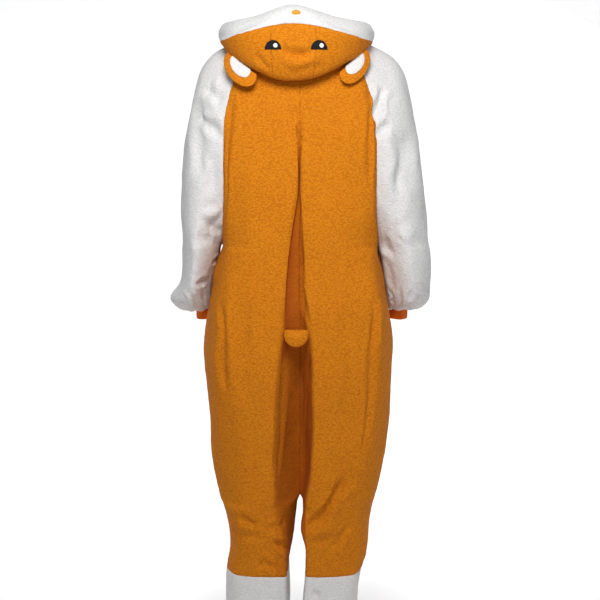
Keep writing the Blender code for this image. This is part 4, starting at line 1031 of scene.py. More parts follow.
def tree_of(points):
    tree = KDTree(len(points))
    for k, point in enumerate(points):
        tree.insert(point, k)
    tree.balance()
    return tree


def along_edges(points, edges):
    """Points along these edges, a quarter of an edge apart."""
    a, b = points[edges[:, 0]], points[edges[:, 1]]
    return np.concatenate([a + (b - a) * share for share in (0, 0.25, 0.5, 0.75)])


def far_from(points, marks, reach):
    """How far each point is from the nearest mark, up to the reach."""
    if not len(marks):
        return np.full(len(points), reach)
    tree = tree_of(marks)
    return np.array([min(tree.find(p)[2], reach) for p in points])


def noise_at(points, size, seed):
    """Soft noise about nought at the points. size: how long a wave is in each direction."""
    scaled = points / np.array(size) + seed * SEED_STEP
    return np.array([noise.noise(p) for p in scaled])


def seen_ray(across, down):
    """The ray from the camera through a place in its picture, in steps of SEEN_STEP from the top left."""
    pitch = CAMERA_PITCH
    forward, up = Vector((0, cos(pitch), -sin(pitch))), Vector((0, sin(pitch), cos(pitch)))
    start = CAMERA_TARGET - forward * CAMERA_DISTANCE
    x, height = (across - SEEN_MIDDLE) * SEEN_STEP, (SEEN_MIDDLE - down) * SEEN_STEP
    return start, (forward * CAMERA_DISTANCE + Vector((x, 0, 0)) + up * height).normalized()


def crease_line(crease, tree):
    """Points along the crease on the skin, CREASE_STEP apart."""
    found = []
    for across, height in crease.along:
        if crease in BACK_CREASES:
            start, way = seen_ray(across, height)
        else:
            start, way = Vector((across, 2, height)), Vector((0, -1, 0))
        hit = tree.ray_cast(start, way)[0]
        if hit is not None:
            found.append(hit)
    if len(found) < 2:
        return np.empty((0, 3))
    counts = [max(int((b - a).length / CREASE_STEP), 1) for a, b in zip(found, found[1:])]
    return np.array(spline(found, counts))


def creased(points, normals, tree):
    """How far each point of the skin goes out or in for the creases."""
    rise = np.zeros(len(points))
    for number, crease in enumerate(BACK_CREASES + FRONT_CREASES):
        line = crease_line(crease, tree)
        if len(line) < 3:
            continue
        reach = crease.width * CREASE_REACH
        low, high = line.min(axis=0) - reach, line.max(axis=0) + reach
        near = np.nonzero(((points > low) & (points < high)).all(axis=1))[0]
        kd = tree_of(line)
        found = [kd.find(points[i]) for i in near]
        index = np.array([f[1] for f in found])
        gap = points[near] - line[index]
        ahead = unit(np.gradient(line, axis=0))[index]
        across = np.cross(ahead, normals[near])
        offset = (gap * across).sum(axis=1)
        distance = np.linalg.norm(gap, axis=1)
        share = index / (len(line) - 1)
        waver = 1 + WAVER * np.sin(share * WAVER_RATE + number * WAVER_SHIFT)
        u = np.where(offset < 0, -distance, distance) / (crease.width * waver)
        u *= np.where(u > 0, 1 + crease.bias, 1 - crease.bias)
        taper = smoothed(np.minimum(share, 1 - share) * TAPER_RATE + TAPER_START)
        shape = np.exp(-(u**2)) - crease.lip * np.exp(-((np.abs(u) - LIP_AT) ** 2) * LIP_SHARPNESS)
        facing = (normals[near] * normals[near][np.argmin(distance)]).sum(axis=1) > CREASE_FACING
        rise[near] += crease.depth * taper * shape * facing
    return rise


def rumpled(points):
    """How far slack cloth goes out or in: long soft waves and smaller ones over them."""
    rise = np.zeros(len(points))
    for rumple in RUMPLES:
        rise += noise_at(points, rumple.size, rumple.seed) * rumple.height
    z = points[:, 2]
    firm = smoothed((z - FIRM_FROM) / FIRM_OVER)
    hem = smoothed((z - HEM_FROM) / HEM_OVER)
    return rise * (1 - FIRM_SHARE * firm) * (1 - HEM_SHARE + HEM_SHARE * hem)


def fold_shade(points):
    """How dark each point is for the little light that gets into the centre back fold."""
    rows = [(row.z_back, row.back, row.lip_left, row.lip_right) for row in YOKE]
    rows += [(row.z, row.back, row.lip_left, row.lip_right) for row in TRUNK]
    levels, *tables = np.array(rows)[::-1].T
    x, y, z = points.T
    back, left, right = (np.interp(z, levels, table) for table in tables)
    inside = smoothed((x + left + SHADE_MARGIN) / SHADE_WIDTH)
    inside *= smoothed((right + SHADE_MARGIN - x) / SHADE_WIDTH)
    low = smoothed((SHADE_TURN - z) / SHADE_TURN_OVER)
    across = np.clip((x + left) / (left + right), 0, 1)
    dark = lerp(lerp(*SHADE_ABOVE, across), lerp(*SHADE_BELOW, across), low)
    return inside * dark * smoothed((y - back - SHADE_START) / SHADE_DEPTH) * (y < 0) * (z < SHADE_TOP)


def new_piece(name, points, faces, material):
    """A smooth-shaded piece of this one material, its mesh at its place."""
    mesh = bpy.data.meshes.new(name)
    mesh.from_pydata(points, [], faces)
    mesh.materials.append(material)
    mesh.shade_smooth()
    mesh.update()
    obj = bpy.data.objects.new(name, mesh)
    bpy.context.scene.collection.objects.link(obj)
    return obj


def shell(name, quads, material, lift=0.0, wall=FLEECE):
    """A closed thin shell of a patch of the refined skin, and the runs of its borders.

    Its outer side rolls down into the seams and puckers beside them. Its open edges are rounded."""
    used, local = np.unique(quads, return_inverse=True)
    local = local.reshape(-1, 4)
    at, normal = points[used], normals[used]
    border = once_used(quads)
    is_seam = np.isin(border, seam_points).all(axis=1) if not lift else np.zeros(len(border), bool)
    reach = PUCKER_REACH * PUCKER_REACHES
    gap = far_from(at, along_edges(points, border[is_seam]), reach)
    roll = 1 - np.clip(gap / SEAM_WIDTH, 0, 1)
    pucker = noise_at(at, (PUCKER_LENGTH,) * 3, PUCKER_SEED) * np.exp(-gap / PUCKER_REACH) * (gap < reach)
    depth = SEAM_DEPTH * (HOOD_SEAM if name.startswith("hood") else 1)
    rise = lift + (wall if lift else 0) + PUCKER_HEIGHT * pucker - depth * roll**SEAM_ROLL
    index_of = {int(v): k for k, v in enumerate(used)}
    inward = np.zeros_like(at)
    ends = np.array([[index_of[int(i)], index_of[int(j)]] for i, j in border])
    along = unit(at[ends[:, 1]] - at[ends[:, 0]])
    for end in (0, 1):
        np.add.at(inward, ends[:, end], unit(np.cross(normal[ends[:, end]], along)))
    inward = unit(inward)
    edge = at + inward * SEAM_INSET
    outer = edge + normal * rise[:, None]
    inner = edge + normal * (lift if lift else -wall)
    rim = np.unique(ends)
    open_ends = np.setdiff1d(rim, np.unique(ends[is_seam])) if not lift else rim
    bulge = np.zeros(len(at))
    bulge[open_ends] = HEM_BULGE
    middle = (outer[rim] + inner[rim]) / 2 - inward[rim] * bulge[rim][:, None]
    slot_of = {int(v): k for k, v in enumerate(rim)}
    count = len(at)
    faces = local.tolist()
    faces += (local[:, ::-1] + count).tolist()
    for a, b in ends.tolist():
        ma, mb = 2 * count + slot_of[a], 2 * count + slot_of[b]
        faces.append((b, a, ma, mb))
        faces.append((mb, ma, a + count, b + count))
    piece = new_piece(name, np.concatenate([outer, inner, middle]), faces, material)
    # Painted shade for the centre back fold, kept on each point for the fleece to mix in
    shade = piece.data.attributes.new("fold_shade", "FLOAT", "POINT")
    shade.data.foreach_set("value", np.concatenate([shaded[used], shaded[used], shaded[used[rim]]]))
    return piece, {"ends": ends, "seam": is_seam, "at": outer, "inward": inward}


def chains_of(pairs):
    """Runs of points joined end to end by these pairs."""
    after = dict(pairs)
    starts = [a for a in after if a not in set(after.values())] or list(after)[:1]
    found, left = [], set(after)
    while left:
        at = next((a for a in starts if a in left), None)
        at = next(iter(left)) if at is None else at
        run = [at]
        while at in left:
            left.discard(at)
            at = after[at]
            run.append(at)
        found.append(run)
    return found


def border_paths(piece, border, inset, seam):
    """Lines on the piece that follow its seams or its open edges, this far in from them."""
    chosen = border["ends"][border["seam"] == seam]
    tree = BVHTree.FromObject(piece, bpy.context.evaluated_depsgraph_get())
    found = []
    for run in chains_of(chosen.tolist()):
        path = []
        for k in run:
            goal = Vector(border["at"][k] + border["inward"][k] * inset)
            place, normal = tree.find_nearest(goal)[:2]
            path.append(place + normal * THREAD_LIFT)
        if len(path) > 3:
            found.append(path)
    return found


def stitcher():
    """Geometry nodes that lay one stitch after another along the edges of a mesh."""
    tree = bpy.data.node_groups.new("stitches", "GeometryNodeTree")
    for name, kind in (("Geometry", "Geometry"), ("Step", "Float"), ("Thread", "Material")):
        tree.interface.new_socket(name, in_out="INPUT", socket_type=f"NodeSocket{kind}")
    tree.interface.new_socket("Geometry", in_out="OUTPUT", socket_type="NodeSocketGeometry")
    given = add(tree, "NodeGroupInput").outputs
    curve = add(tree, "GeometryNodeMeshToCurve", {0: given["Geometry"]}).outputs[0]
    even = add(tree, "GeometryNodeResampleCurve", {"Curve": curve, "Length": given["Step"]}, mode="LENGTH")
    spots = add(tree, "GeometryNodeCurveToPoints", {"Curve": even.outputs[0]}, mode="EVALUATED").outputs
    ball = add(tree, "GeometryNodeMeshUVSphere", {"Segments": 6, "Rings": 4, "Radius": 1.0}).outputs[0]
    stitch = add(tree, "GeometryNodeTransform", {"Geometry": ball, "Scale": THREAD_SIZE}).outputs[0]
    places = {"Points": spots["Points"], "Instance": stitch, "Rotation": spots["Rotation"]}
    laid = add(tree, "GeometryNodeInstanceOnPoints", places).outputs[0]
    real = add(tree, "GeometryNodeRealizeInstances", {0: laid}).outputs[0]
    dyed = add(tree, "GeometryNodeSetMaterial", {"Geometry": real, "Material": given["Thread"]})
    add(tree, "NodeGroupOutput", {0: dyed.outputs[0]})
    return tree


def sew(name, paths, thread, step=STITCH_STEP):
    """Stitches along these lines, as one piece."""
    points, edges = [], []
    for path in paths:
        first = len(points)
        points += path
        edges += [(k, k + 1) for k in range(first, len(points) - 1)]
    mesh = bpy.data.meshes.new(name)
    mesh.from_pydata(points, edges, [])
    obj = bpy.data.objects.new(name, mesh)
    bpy.context.scene.collection.objects.link(obj)
    modifier = obj.modifiers.new("stitches", "NODES")
    modifier.node_group = STITCHES
    for item in STITCHES.interface.items_tree:
        if item.name in ("Step", "Thread"):
            modifier[item.identifier] = step if item.name == "Step" else thread
    obj.update_tag()
    bpy.context.view_layer.update()
    sewn = evaluated(obj)
    obj.modifiers.clear()
    obj.data = sewn
    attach(obj, "root")
    return obj


def rings_piece(name, rings, poles, material, closed=False):
    """A closed form of rings, with a pole at either end or with the last ring joined to the first."""
    count = len(rings[0])
    points = [p for ring in rings for p in ring]
    faces = []
    for k in range(len(rings) if closed else len(rings) - 1):
        a, b = k * count, (k + 1) % len(rings) * count
        faces += [(a + i, b + i, b + (i + 1) % count, a + (i + 1) % count) for i in range(count)]
    if poles:
        points += poles
        first, last = len(points) - 2, len(points) - 1
        low = (len(rings) - 1) * count
        faces += [(first, i, (i + 1) % count) for i in range(count)]
        faces += [(last, low + (i + 1) % count, low + i) for i in range(count)]
    piece = new_piece(name, points, faces, material)
    bm = bmesh.new()
    bm.from_mesh(piece.data)
    bmesh.ops.recalc_face_normals(bm, faces=bm.faces)
    bm.to_mesh(piece.data)
    bm.free()
    return piece


def make_cuff(side):
    """A rib-knit tube with rounded ribs, a turned lower edge and a seam where it takes the gathers."""
    count = RIB_COUNT * RIB_STEPS
    top = CUFF_TOP - CUFF_DROP
    rings = []
    for share, out, rib in CUFF_RINGS:
        ring = []
        for k in range(count):
            turn = 2 * pi * k / count
            wave = 0.5 - 0.5 * cos(RIB_COUNT * turn)
            grow = CUFF_WALL * out + RIB_HEIGHT * rib * wave
            z = top - CUFF_LENGTH * share - CUFF_WAVE * sin(CUFF_WAVES * turn + side) * share
            ring.append(cuff_point(side, turn, CUFF_HALF_X + grow, CUFF_HALF_Y + grow, z))
        rings.append(ring)
    return rings_piece(f"cuff_{SIDE_NAME[side]}_rib", rings, [], RIB_KNIT, closed=True)


def half_oval(half_width, height):
    """Points of a rounded lobe that hangs from a straight root: across, from the far side, and down."""
    found = []
    start, end = (radians(angle) for angle in LOBE_ANGLES)
    for k in range(LOBE_STEPS + 1):
        turn = lerp(start, end, k / LOBE_STEPS)
        found.append((half_width * cos(turn), height * (LOBE_MIDDLE + LOBE_REACH * sin(turn))))
    return found


def soft_form(name, outline, centre, normal, belly, edge, material, seed):
    """A stuffed form between two domed faces, pinched at the seam that joins them round its outline."""
    line = spline(outline, [FORM_STEPS] * len(outline), closed=True)
    rings = []
    for face, run in ((-1, FORM_SHARES), (0, (1.0,)), (1, FORM_SHARES[::-1])):
        for share in run:
            ring = []
            for k, p in enumerate(line):
                puff = noise.noise(p * PUFF_RATE + Vector((seed, 0, face * 3)))
                pinch = (1 - max(share - PINCH_FROM, 0) / (1 - PINCH_FROM)) ** 0.5
                high = (edge / 2 + belly * (1 - share**2)) * pinch * (1 + PUFF_HEIGHT * puff * share**4)
                ring.append(centre.lerp(p, share * (1 if face else FORM_SEAM)) + normal * face * high)
            rings.append(ring)
    poles = [centre - normal * (edge / 2 + belly), centre + normal * (edge / 2 + belly)]
    return rings_piece(name, rings, poles, material), line


def move_to_node(piece, node, others=()):
    """Move the piece so that its box has the same middle as the solid's."""
    source = bpy.data.objects[node]
    corners = [source.matrix_world @ v.co for v in source.data.vertices]
    ours = [v.co for v in piece.data.vertices]
    way = Vector([(max(p[k] for p in corners) + min(p[k] for p in corners)) / 2
                  - (max(p[k] for p in ours) + min(p[k] for p in ours)) / 2 for k in range(3)])
    for obj in (piece, *others):
        obj.data.transform(Matrix.Translation(way))
    return way


def fold_point(x):
    """The point of the hood's lower fold at this x."""
    run = [skin.points[i] for i in skin.hood[HOOD_FOLD_ROW]]
    run = [p for p in run if p.y < 0]
    for a, b in zip(run, run[1:]):
        if (a.x - x) * (b.x - x) <= 0:
            return a.lerp(b, (x - a.x) / (b.x - a.x))
    return min(run, key=lambda p: abs(p.x - x))


def make_ear(side):
    """A half disc that hangs from the hood's fold, with a white inside sewn on."""
    name = SIDE_NAME[side]
    middle = fold_point(side * EAR_AT[side])
    outer, inner = (fold_point(side * (EAR_AT[side] + step)) for step in (EAR_FEEL, -EAR_FEEL))
    reach = outer - inner
    across = Vector((reach.x, reach.y * EAR_FOLLOW, reach.z)).normalized() * side
    down = Vector((side * EAR_HANG_OUT, -EAR_HANG_BACK, -1)).normalized()
    away = down.cross(across).normalized()
    away = -away if away.y > 0 else away
    root = middle + down * EAR_DROP
    outline = [root + across * (EAR_HALF_ROOT * step / 2) for step in range(-2, 3)]
    lobe = half_oval(EAR_HALF_WIDTH, EAR_HEIGHT)
    outline += [root + across * over + down * below for over, below in lobe]
    centre = root + down * EAR_HEIGHT * EAR_MIDDLE
    ear, line = soft_form(f"ear_{name}_shell", outline, centre, away, EAR_BELLY, EAR_EDGE, ORANGE, side)
    rings = []
    patch = root + down * EAR_HEIGHT * EAR_LINING_AT
    for share, high in EAR_INSET:
        share *= EAR_INNER_SHARE
        lift = away * (EAR_EDGE / 2 + EAR_BELLY * (1 - share**2) + LAY_GAP + EAR_INNER_WALL * high)
        rings.append([patch.lerp(p, share) + lift for p in line])
    full = EAR_EDGE / 2 + EAR_BELLY + LAY_GAP
    poles = [patch + away * full, patch + away * (full + EAR_INNER_WALL)]
    lining = rings_piece(f"ear_{name}_lining", rings, poles, WHITE)
    share = EAR_INNER_SHARE * EAR_STITCH_AT
    lift = away * (EAR_EDGE / 2 + EAR_BELLY * (1 - share**2) + LAY_GAP + EAR_INNER_WALL + THREAD_LIFT)
    way = move_to_node(ear, f"ear_{name}", [lining])
    seam = [patch.lerp(p, share) + lift + way for p in line]
    sew(f"ear_{name}_stitches", [[*seam, seam[0]]], WHITE_THREAD)
    declare(ear, f"ear_{name}")
    declare(lining, f"ear_inner_{name}")


def make_tail():
    """A stuffed half oval that hangs from a short seam across the centre back."""
    down = Matrix.Rotation(-TAIL_TILT, 4, "X") @ Vector((0, 0, -1))
    normal = Vector((0, down.z, -down.y)).normalized()
    half_root = TAIL_HALF_WIDTH * TAIL_ROOT
    shape = [(-half_root, 0.0), (0.0, 0.0), (half_root, 0.0), *half_oval(TAIL_HALF_WIDTH, TAIL_HEIGHT)]
    outline = [Vector((x, 0, 0)) + down * below for x, below in shape]
    middle = down * TAIL_HEIGHT * TAIL_MIDDLE
    tail, _ = soft_form("tail_form", outline, middle, normal, TAIL_BELLY, TAIL_EDGE, ORANGE, TAIL_SEED)
    move_to_node(tail, "tail")
    declare(tail, "tail")


def felt_shape(name, outline, carriers, gap, wall, material, thread=None):
    """A felt shape laid on what carries it, seen from behind, with rounded edges and a stitched border."""
    toward = Vector((0, -1, 0))
    centre = sum(outline, Vector()) / len(outline)

    def lie(point):
        hits = [tree.ray_cast(point + toward * FELT_FROM + Vector((step, 0, 0)), -toward)
                for tree in carriers for step in (0, FELT_PROBE, -FELT_PROBE)]
        hits = [h[3] for h in hits if h[0] is not None]
        return point + toward * (FELT_FROM - min(hits))

    rings = []
    for share, high in FELT_INSET:
        rings.append([lie(centre.lerp(p, share)) + toward * (gap + wall * high) for p in outline])
    poles = [lie(centre) + toward * gap, lie(centre) + toward * (gap + wall)]
    piece = rings_piece(name, rings, poles, material)
    if thread:
        seam = [lie(centre.lerp(p, FELT_STITCH_AT)) + toward * (gap + wall + THREAD_LIFT) for p in outline]
        sew(f"{name}_stitches", [[*seam, seam[0]]], thread, FELT_STITCH_STEP)
    return piece


def make_face(hood):
    """Drowsy half-moon eyes and a rounded nose, cut from felt."""
    graph = bpy.context.evaluated_depsgraph_get()
    trees = [BVHTree.FromObject(piece, graph) for piece in hood]
    for side in (RIGHT, LEFT):
        name = SIDE_NAME[side]
        middle = FACE_X + side * EYE_X
        lid = [(EYE_HALF_WIDTH * (2 * k / LID_STEPS - 1), 0.0) for k in range(LID_STEPS + 1)]
        turns = [pi * k / EYE_STEPS for k in range(1, EYE_STEPS)]
        arc = [(EYE_HALF_WIDTH * cos(turn), EYE_HEIGHT * sin(turn)) for turn in turns]
        outline = [Vector((middle + x, 0, EYE_Z + z)) for x, z in [*lid, *arc]]
        eye = felt_shape(f"eye_{name}_felt", outline, trees, FELT_GAP / 2, FELT, FELT_BLACK, BLACK_THREAD)
        declare(eye, f"eye_{name}")
        bpy.context.view_layer.update()
        tree = BVHTree.FromObject(eye, bpy.context.evaluated_depsgraph_get())
        spot = Vector((middle + GLINT_AT[0], 0, EYE_Z + EYE_HEIGHT * GLINT_AT[1]))
        turns = [2 * pi * k / GLINT_STEPS for k in range(GLINT_STEPS)]
        glint = [spot + Vector((GLINT_RADIUS * cos(t), 0, GLINT_RADIUS * sin(t))) for t in turns]
        spot = felt_shape(f"eye_{name}_glint", glint, [tree], FELT_GAP / 2, FELT, FELT_WHITE)
        declare(spot, f"eye_glint_{name}")
    nose = []
    for k in range(NOSE_STEPS):
        turn = 2 * pi * k / NOSE_STEPS
        width = NOSE_HALF_WIDTH * (1 - NOSE_TAPER * sin(turn))
        nose.append(Vector((FACE_X + width * cos(turn), 0, NOSE_Z + NOSE_HEIGHT / 2 * sin(turn))))
    piece = felt_shape("nose_felt", nose, trees, FELT_GAP / 2, FELT, FELT_ORANGE, ORANGE_THREAD)
    declare(piece, "nose")


def make_buttons():
    """Turned buttons with a dished face and four holes, each sewn on with two runs of thread."""
    points = [(share * BUTTON_RADIUS, 0, height * BUTTON_THICKNESS) for share, height in BUTTON_PROFILE]
    fine = [Vector(points[0])]
    for a, b in zip(points, points[1:]):
        a, b = Vector(a), Vector(b)
        fine += [a.lerp(b, share) for share in BUTTON_STEPS]
    mesh = bpy.data.meshes.new("button")
    mesh.from_pydata(fine, [(k, k + 1) for k in range(len(fine) - 1)], [])
    turned = bpy.data.objects.new("button", mesh)
    bpy.context.scene.collection.objects.link(turned)
    screw = turned.modifiers.new("turned", "SCREW")
    screw.steps = screw.render_steps = BUTTON_SIDES
    screw.use_merge_vertices, screw.merge_threshold, screw.use_smooth_shade = True, 0.00001, True
    drill = bmesh.new()
    holes = [Vector((x, y, 0)) * BUTTON_HOLE_AT for x in (-1, 1) for y in (-1, 1)]
    size = {"radius1": BUTTON_HOLE, "radius2": BUTTON_HOLE, "depth": BUTTON_RADIUS * 2}
    for hole in holes:
        place = Matrix.Translation(hole)
        bmesh.ops.create_cone(drill, cap_ends=True, segments=HOLE_SIDES, matrix=place, **size)
    bits = bpy.data.meshes.new("bits")
    drill.to_mesh(bits)
    drill.free()
    bit = bpy.data.objects.new("bits", bits)
    bpy.context.scene.collection.objects.link(bit)
    cut = turned.modifiers.new("holes", "BOOLEAN")
    cut.object, cut.operation, cut.solver = bit, "DIFFERENCE", "EXACT"
    bpy.context.view_layer.update()
    pattern = evaluated(turned)
    for obj in (turned, bit):
        bpy.data.objects.remove(obj)
    threads = []
    for number, row in enumerate(BUTTON_ROWS, 1):
        a, b = (skin.points[skin.centre_front[k]] for k in (row, row + 1))
        along = (a - b).normalized()
        normal = Vector((0, along.z, -along.y))
        source = bpy.data.objects[f"button_{number}"]
        corners = [source.matrix_world @ v.co for v in source.data.vertices]
        under = min(p.dot(normal) for p in corners)
        place = (a + b) / 2
        place += normal * (under - place.dot(normal))
        turn = normal.to_track_quat("Z", "Y").to_matrix().to_4x4()
        button = bpy.data.objects.new(f"button_{number}_disc", pattern.copy())
        button.data.transform(Matrix.Translation(place) @ turn)
        button.data.materials.clear()
        button.data.materials.append(RESIN)
        bpy.context.scene.collection.objects.link(button)
        declare(button, f"button_{number}")
        high = BUTTON_THICKNESS * BUTTON_THREAD_AT
        for x in (-BUTTON_HOLE_AT, BUTTON_HOLE_AT):
            ends = [Vector((x, y, high)) for y in (-BUTTON_HOLE_AT, 0, BUTTON_HOLE_AT)]
            threads.append([place + turn.to_3x3() @ end for end in ends])
    sew("button_threads", threads, WHITE_THREAD, BUTTON_THREAD_STEP)


def declare(piece, node):
    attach(piece, "root")
    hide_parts(node)


def srgb(text):
    values = [int(text[k : k + 2], 16) / 255 for k in (0, 2, 4)]
    return (*[v / 12.92 if v <= 0.04045 else ((v + 0.055) / 1.055) ** 2.4 for v in values], 1)


def add(tree, kind, inputs=(), **settings):
    """A node of this kind. Its inputs are given by name or number, as values or as sockets to link."""
    node = tree.nodes.new(kind)
    for key, value in settings.items():
        setattr(node, key, value)
    for key, value in dict(inputs).items():
        if isinstance(value, bpy.types.NodeSocket):
            tree.links.new(value, node.inputs[key])
        else:
            node.inputs[key].default_value = value
    return node


def surface(name, roughness, **inputs):
    """A material, its node tree and its shader, with these values on the shader's own sockets."""
    material = bpy.data.materials.new(name)
    material.use_nodes = True
    tree = material.node_tree
    shader = tree.nodes["Principled BSDF"]
    shader.inputs["Roughness"].default_value = roughness
    for key, value in inputs.items():
        shader.inputs[key.replace("_", " ")].default_value = value
    return material, tree, shader


def fleece(name, deep, base, light, fold_shade_colour, sheen):
    """Brushed knit rolled into pebbles: soft knobs, a fine nap and uneven dye, with painted shade in the
    hollows and a painted highlight on the knobs.

    It looks matt all over, and inside the back fold it has painted shade, darker and redder, for the light
    that its own colour throws there."""
    material, tree, shader = surface(name, 0.92, Sheen_Weight=sheen, Sheen_Roughness=0.45,
                                     Specular_IOR_Level=0.2)
    shader.inputs["Sheen Tint"].default_value = srgb(light)
    place = add(tree, "ShaderNodeTexCoord").outputs["Object"]
    stretch = (1, 1, PEBBLE_WIDE / PEBBLE_HIGH)
    flat = add(tree, "ShaderNodeMapping", {"Vector": place, "Scale": stretch}).outputs[0]
    drift = add(tree, "ShaderNodeTexNoise", {"Vector": flat, "Scale": 1 / PEBBLE_DRIFT_SIZE, "Detail": 0.0})
    drift = drift.outputs["Color"]
    shift = add(tree, "ShaderNodeVectorMath", {0: drift, 1: (PEBBLE_DRIFT,) * 3, 2: flat},
                operation="MULTIPLY_ADD")
    knobs = add(tree, "ShaderNodeTexVoronoi", {"Vector": shift.outputs[0], "Scale": 1 / PEBBLE_WIDE},
                feature="F1").outputs["Distance"]
    nap = add(tree, "ShaderNodeTexNoise", {"Vector": place, "Scale": 1 / NAP_SIZE, "Detail": 2.0})
    nap = nap.outputs[0]
    high = add(tree, "ShaderNodeMath", {0: knobs, 1: PEBBLE_FALL, 2: PEBBLE_TOP},
               operation="MULTIPLY_ADD").outputs[0]
    high = add(tree, "ShaderNodeMath", {0: nap, 1: NAP_SHARE, 2: high},
               operation="MULTIPLY_ADD").outputs[0]
    patch = add(tree, "ShaderNodeTexNoise", {"Vector": place, "Scale": 1 / DYE_PATCH, "Detail": 0.5})
    patch = patch.outputs[0]
    tone = add(tree, "ShaderNodeMath", {0: patch, 1: DYE_SHARE, 2: high},
               operation="MULTIPLY_ADD").outputs[0]
    # The tone follows the pebbles' height, with some nap and uneven dye, so the ramp mostly paints shade
    # into their hollows and highlight onto their tops
    ramp = add(tree, "ShaderNodeValToRGB", {"Fac": tone})
    stops = ramp.color_ramp.elements
    stops[0].position, stops[0].color = DEEP_AT, srgb(deep)
    stops[1].position, stops[1].color = LIGHT_AT, srgb(light)
    stops.new(BASE_AT).color = srgb(base)
    # Painted shade: the fold_shade attribute mixes in a darker, redder colour inside the centre back fold
    fold = add(tree, "ShaderNodeAttribute", attribute_name="fold_shade").outputs["Fac"]
    mixed = add(tree, "ShaderNodeMixRGB", {0: fold, 1: ramp.outputs["Color"], 2: srgb(fold_shade_colour)})
    tree.links.new(mixed.outputs[0], shader.inputs["Base Color"])
    bump = add(tree, "ShaderNodeBump", {"Height": high, "Strength": 0.75, "Distance": PEBBLE_DEPTH})
    tree.links.new(bump.outputs[0], shader.inputs["Normal"])
    return material


def fine_cloth(name, deep, light, size, stretch, depth, sheen):
    """Plain cloth of fine fibres: felt where the stretch is even, rib knit where the threads run down."""
    material, tree, shader = surface(name, 0.9, Sheen_Weight=sheen, Sheen_Roughness=0.5,
                                     Specular_IOR_Level=0.2)
    place = add(tree, "ShaderNodeTexCoord").outputs["Object"]
    drawn = add(tree, "ShaderNodeMapping", {"Vector": place, "Scale": (1, 1, stretch)}).outputs[0]
    fibre = add(tree, "ShaderNodeTexNoise", {"Vector": drawn, "Scale": 1 / size, "Detail": 4.0}).outputs[0]
    ramp = add(tree, "ShaderNodeValToRGB", {"Fac": fibre})
    stops = ramp.color_ramp.elements
    stops[0].position, stops[0].color = FIBRE_DEEP_AT, srgb(deep)
    stops[1].position, stops[1].color = FIBRE_LIGHT_AT, srgb(light)
    tree.links.new(ramp.outputs["Color"], shader.inputs["Base Color"])
    bump = add(tree, "ShaderNodeBump", {"Height": fibre, "Strength": 0.6, "Distance": depth})
    tree.links.new(bump.outputs[0], shader.inputs["Normal"])
    return material


def aimed(place, way):
    """The pose of a camera or a lamp that looks this way."""
    return Matrix.Translation(place) @ way.to_track_quat("-Z", "Y").to_matrix().to_4x4()


def make_camera():
    data = bpy.data.cameras.new("camera")
    data.sensor_fit = "VERTICAL"
    data.angle = 2 * atan(VIEW_HEIGHT / 2 / CAMERA_DISTANCE)
    camera = bpy.data.objects.new("camera", data)
    start, way = seen_ray(SEEN_MIDDLE, SEEN_MIDDLE)
    camera.matrix_world = aimed(start, way)
    bpy.context.scene.collection.objects.link(camera)
    bpy.context.scene.camera = camera


def make_studio():
    """A pale floor that sweeps up behind the garment, and soft light from near the camera."""
    sides = (-PAPER_HALF_WIDTH, PAPER_HALF_WIDTH)
    points = [(x, y, FLOOR_Z + rise) for y, rise in PAPER_RUN for x in sides]
    faces = [(2 * k, 2 * k + 1, 2 * k + 3, 2 * k + 2) for k in range(len(PAPER_RUN) - 1)]
    material, tree, shader = surface("matt_white_paper", 0.95)
    shader.inputs["Base Color"].default_value = srgb("F2F2F2")
    shader.inputs["Emission Color"].default_value = srgb("FFFFFF")
    place = add(tree, "ShaderNodeSeparateXYZ", {0: add(tree, "ShaderNodeTexCoord").outputs["Object"]})
    start, full = PAPER_GLOW_Y
    bounds = {0: place.outputs["Y"], 1: start, 2: full, 3: 0.0, 4: PAPER_GLOW}
    glow = add(tree, "ShaderNodeMapRange", bounds)
    tree.links.new(glow.outputs[0], shader.inputs["Emission Strength"])
    floor = new_piece("paper_sweep", points, faces, material)
    world = bpy.data.worlds.new("studio")
    world.use_nodes = True
    world.node_tree.nodes["Background"].inputs["Color"].default_value = srgb("F7F8FC")
    world.node_tree.nodes["Background"].inputs["Strength"].default_value = WORLD_LIGHT
    bpy.context.scene.world = world
    bpy.context.scene.view_settings.view_transform = "Standard"
    for light in LIGHTS:
        data = bpy.data.lights.new(light.name, "AREA")
        data.size = light.size
        data.energy = light.power
        lamp = bpy.data.objects.new(light.name, data)
        lamp.matrix_world = aimed(Vector(light.place), LIGHT_AIM - Vector(light.place))
        bpy.context.scene.collection.objects.link(lamp)


# The first three colours of each fleece are painted shade in its pebbles' hollows, its own colour and a
# painted highlight on the pebbles' tops
# The fourth colour of each fleece is painted shade for inside the centre back fold
ORANGE = fleece("orange_pebbled_fleece", "C06C0A", "D07C0E", "DC8812", "9C4207", 0.05)
WHITE = fleece("white_pebbled_fleece", "D6D5D4", "DFDEDD", "E6E5E4", "D0CFCE", 0.06)
RIB_KNIT = fine_cloth("orange_rib_knit", "CE560C", "EC7A1C", 0.0006, 0.35, 0.0004, 0.05)
FELT_BLACK = fine_cloth("black_felt", "0C0B0C", "262324", 0.0005, 1.0, 0.0003, 0.1)
FELT_WHITE = fine_cloth("white_felt", "D9D7D4", "F6F5F2", 0.0005, 1.0, 0.0003, 0.1)
FELT_ORANGE = fine_cloth("orange_felt", "E0861C", "F4A63C", 0.0005, 1.0, 0.0003, 0.1)
WHITE_THREAD = fine_cloth("white_polyester_thread", "D8D6D2", "F4F3F0", 0.0003, 3.0, 0.0001, 0.0)
ORANGE_THREAD = fine_cloth("orange_polyester_thread", "B8661A", "D98A2E", 0.0003, 3.0, 0.0001, 0.0)
BLACK_THREAD = fine_cloth("black_polyester_thread", "101010", "2A2829", 0.0003, 3.0, 0.0001, 0.0)
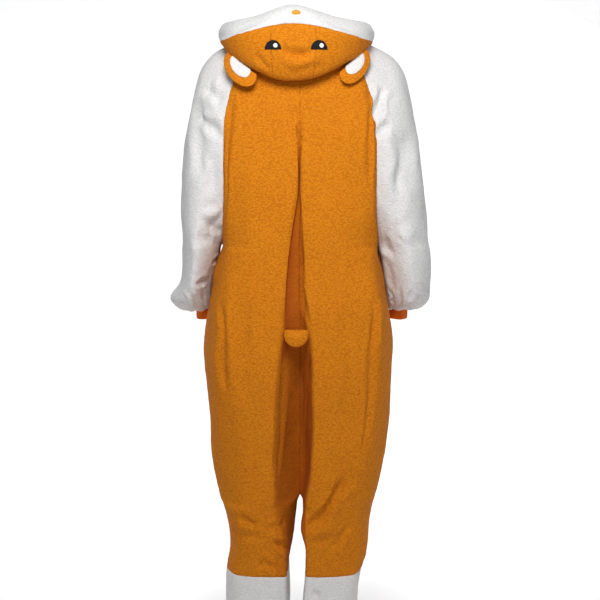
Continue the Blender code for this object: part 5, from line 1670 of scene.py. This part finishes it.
# Cast resin: a soft gloss over a body that lets a little light in
RESIN, _, resin_shader = surface("cast_resin_buttons", 0.3, Subsurface_Weight=0.1, Coat_Weight=0.4)
resin_shader.inputs["Base Color"].default_value = srgb("E9E6DE")
STITCHES = stitcher()
SLOT_MATERIALS = {"orange_fleece": ORANGE, "white_fleece": WHITE}

skin = Onesie()
names, points, quads, piece_of, strip_of = refine(skin, FINE_LEVEL)
normals = corner_normals(points, quads)
coarse = BVHTree.FromPolygons(skin.points, [quad for quad, _ in skin.faces])
points = points + normals * creased(points, normals, coarse)[:, None]
points = points + normals * rumpled(points)[:, None]
normals = corner_normals(points, quads)
shaded = fold_shade(points)
every_border = np.concatenate([once_used(quads[piece_of == k]) for k in range(len(names))])
keys, count = np.unique(np.sort(every_border, axis=1), axis=0, return_counts=True)
seam_points = np.unique(keys[count == 2])
made, borders = {}, {}
for number, name in enumerate(names):
    white = name.startswith(("front", "sleeve", "lower_leg", "hood_band"))
    slot = "white_fleece" if white else "orange_fleece"
    piece, border = shell(f"{name}_cloth", quads[piece_of == number], SLOT_MATERIALS[slot])
    made[name], borders[name] = piece, border
    declare(piece, name)

strip, strip_border = shell("placket_strip", quads[strip_of == 1], WHITE, LAY_GAP, PLACKET_WALL)
declare(strip, "placket")
for side in (RIGHT, LEFT):
    cuff = make_cuff(side)
    declare(cuff, f"cuff_{SIDE_NAME[side]}")
    make_ear(side)
make_tail()
make_face([made[name] for name in ("hood_centre", "hood_side_left", "hood_side_right", "hood_band")])
make_buttons()
band = made["hood_band"], borders["hood_band"]
sew("hood_hem_stitches", border_paths(*band, HEM_STITCH_IN["hood"], False), WHITE_THREAD)
sew("hood_band_stitches", border_paths(*band, BAND_STITCH_IN, True), WHITE_THREAD)
sew("placket_stitches", border_paths(strip, strip_border, HEM_STITCH_IN["placket"], False), WHITE_THREAD)
for side in ("left", "right"):
    leg = made[f"lower_leg_{side}"], borders[f"lower_leg_{side}"]
    sew(f"leg_hem_{side}_stitches", border_paths(*leg, HEM_STITCH_IN["leg"], False), WHITE_THREAD)

make_studio()
make_camera()
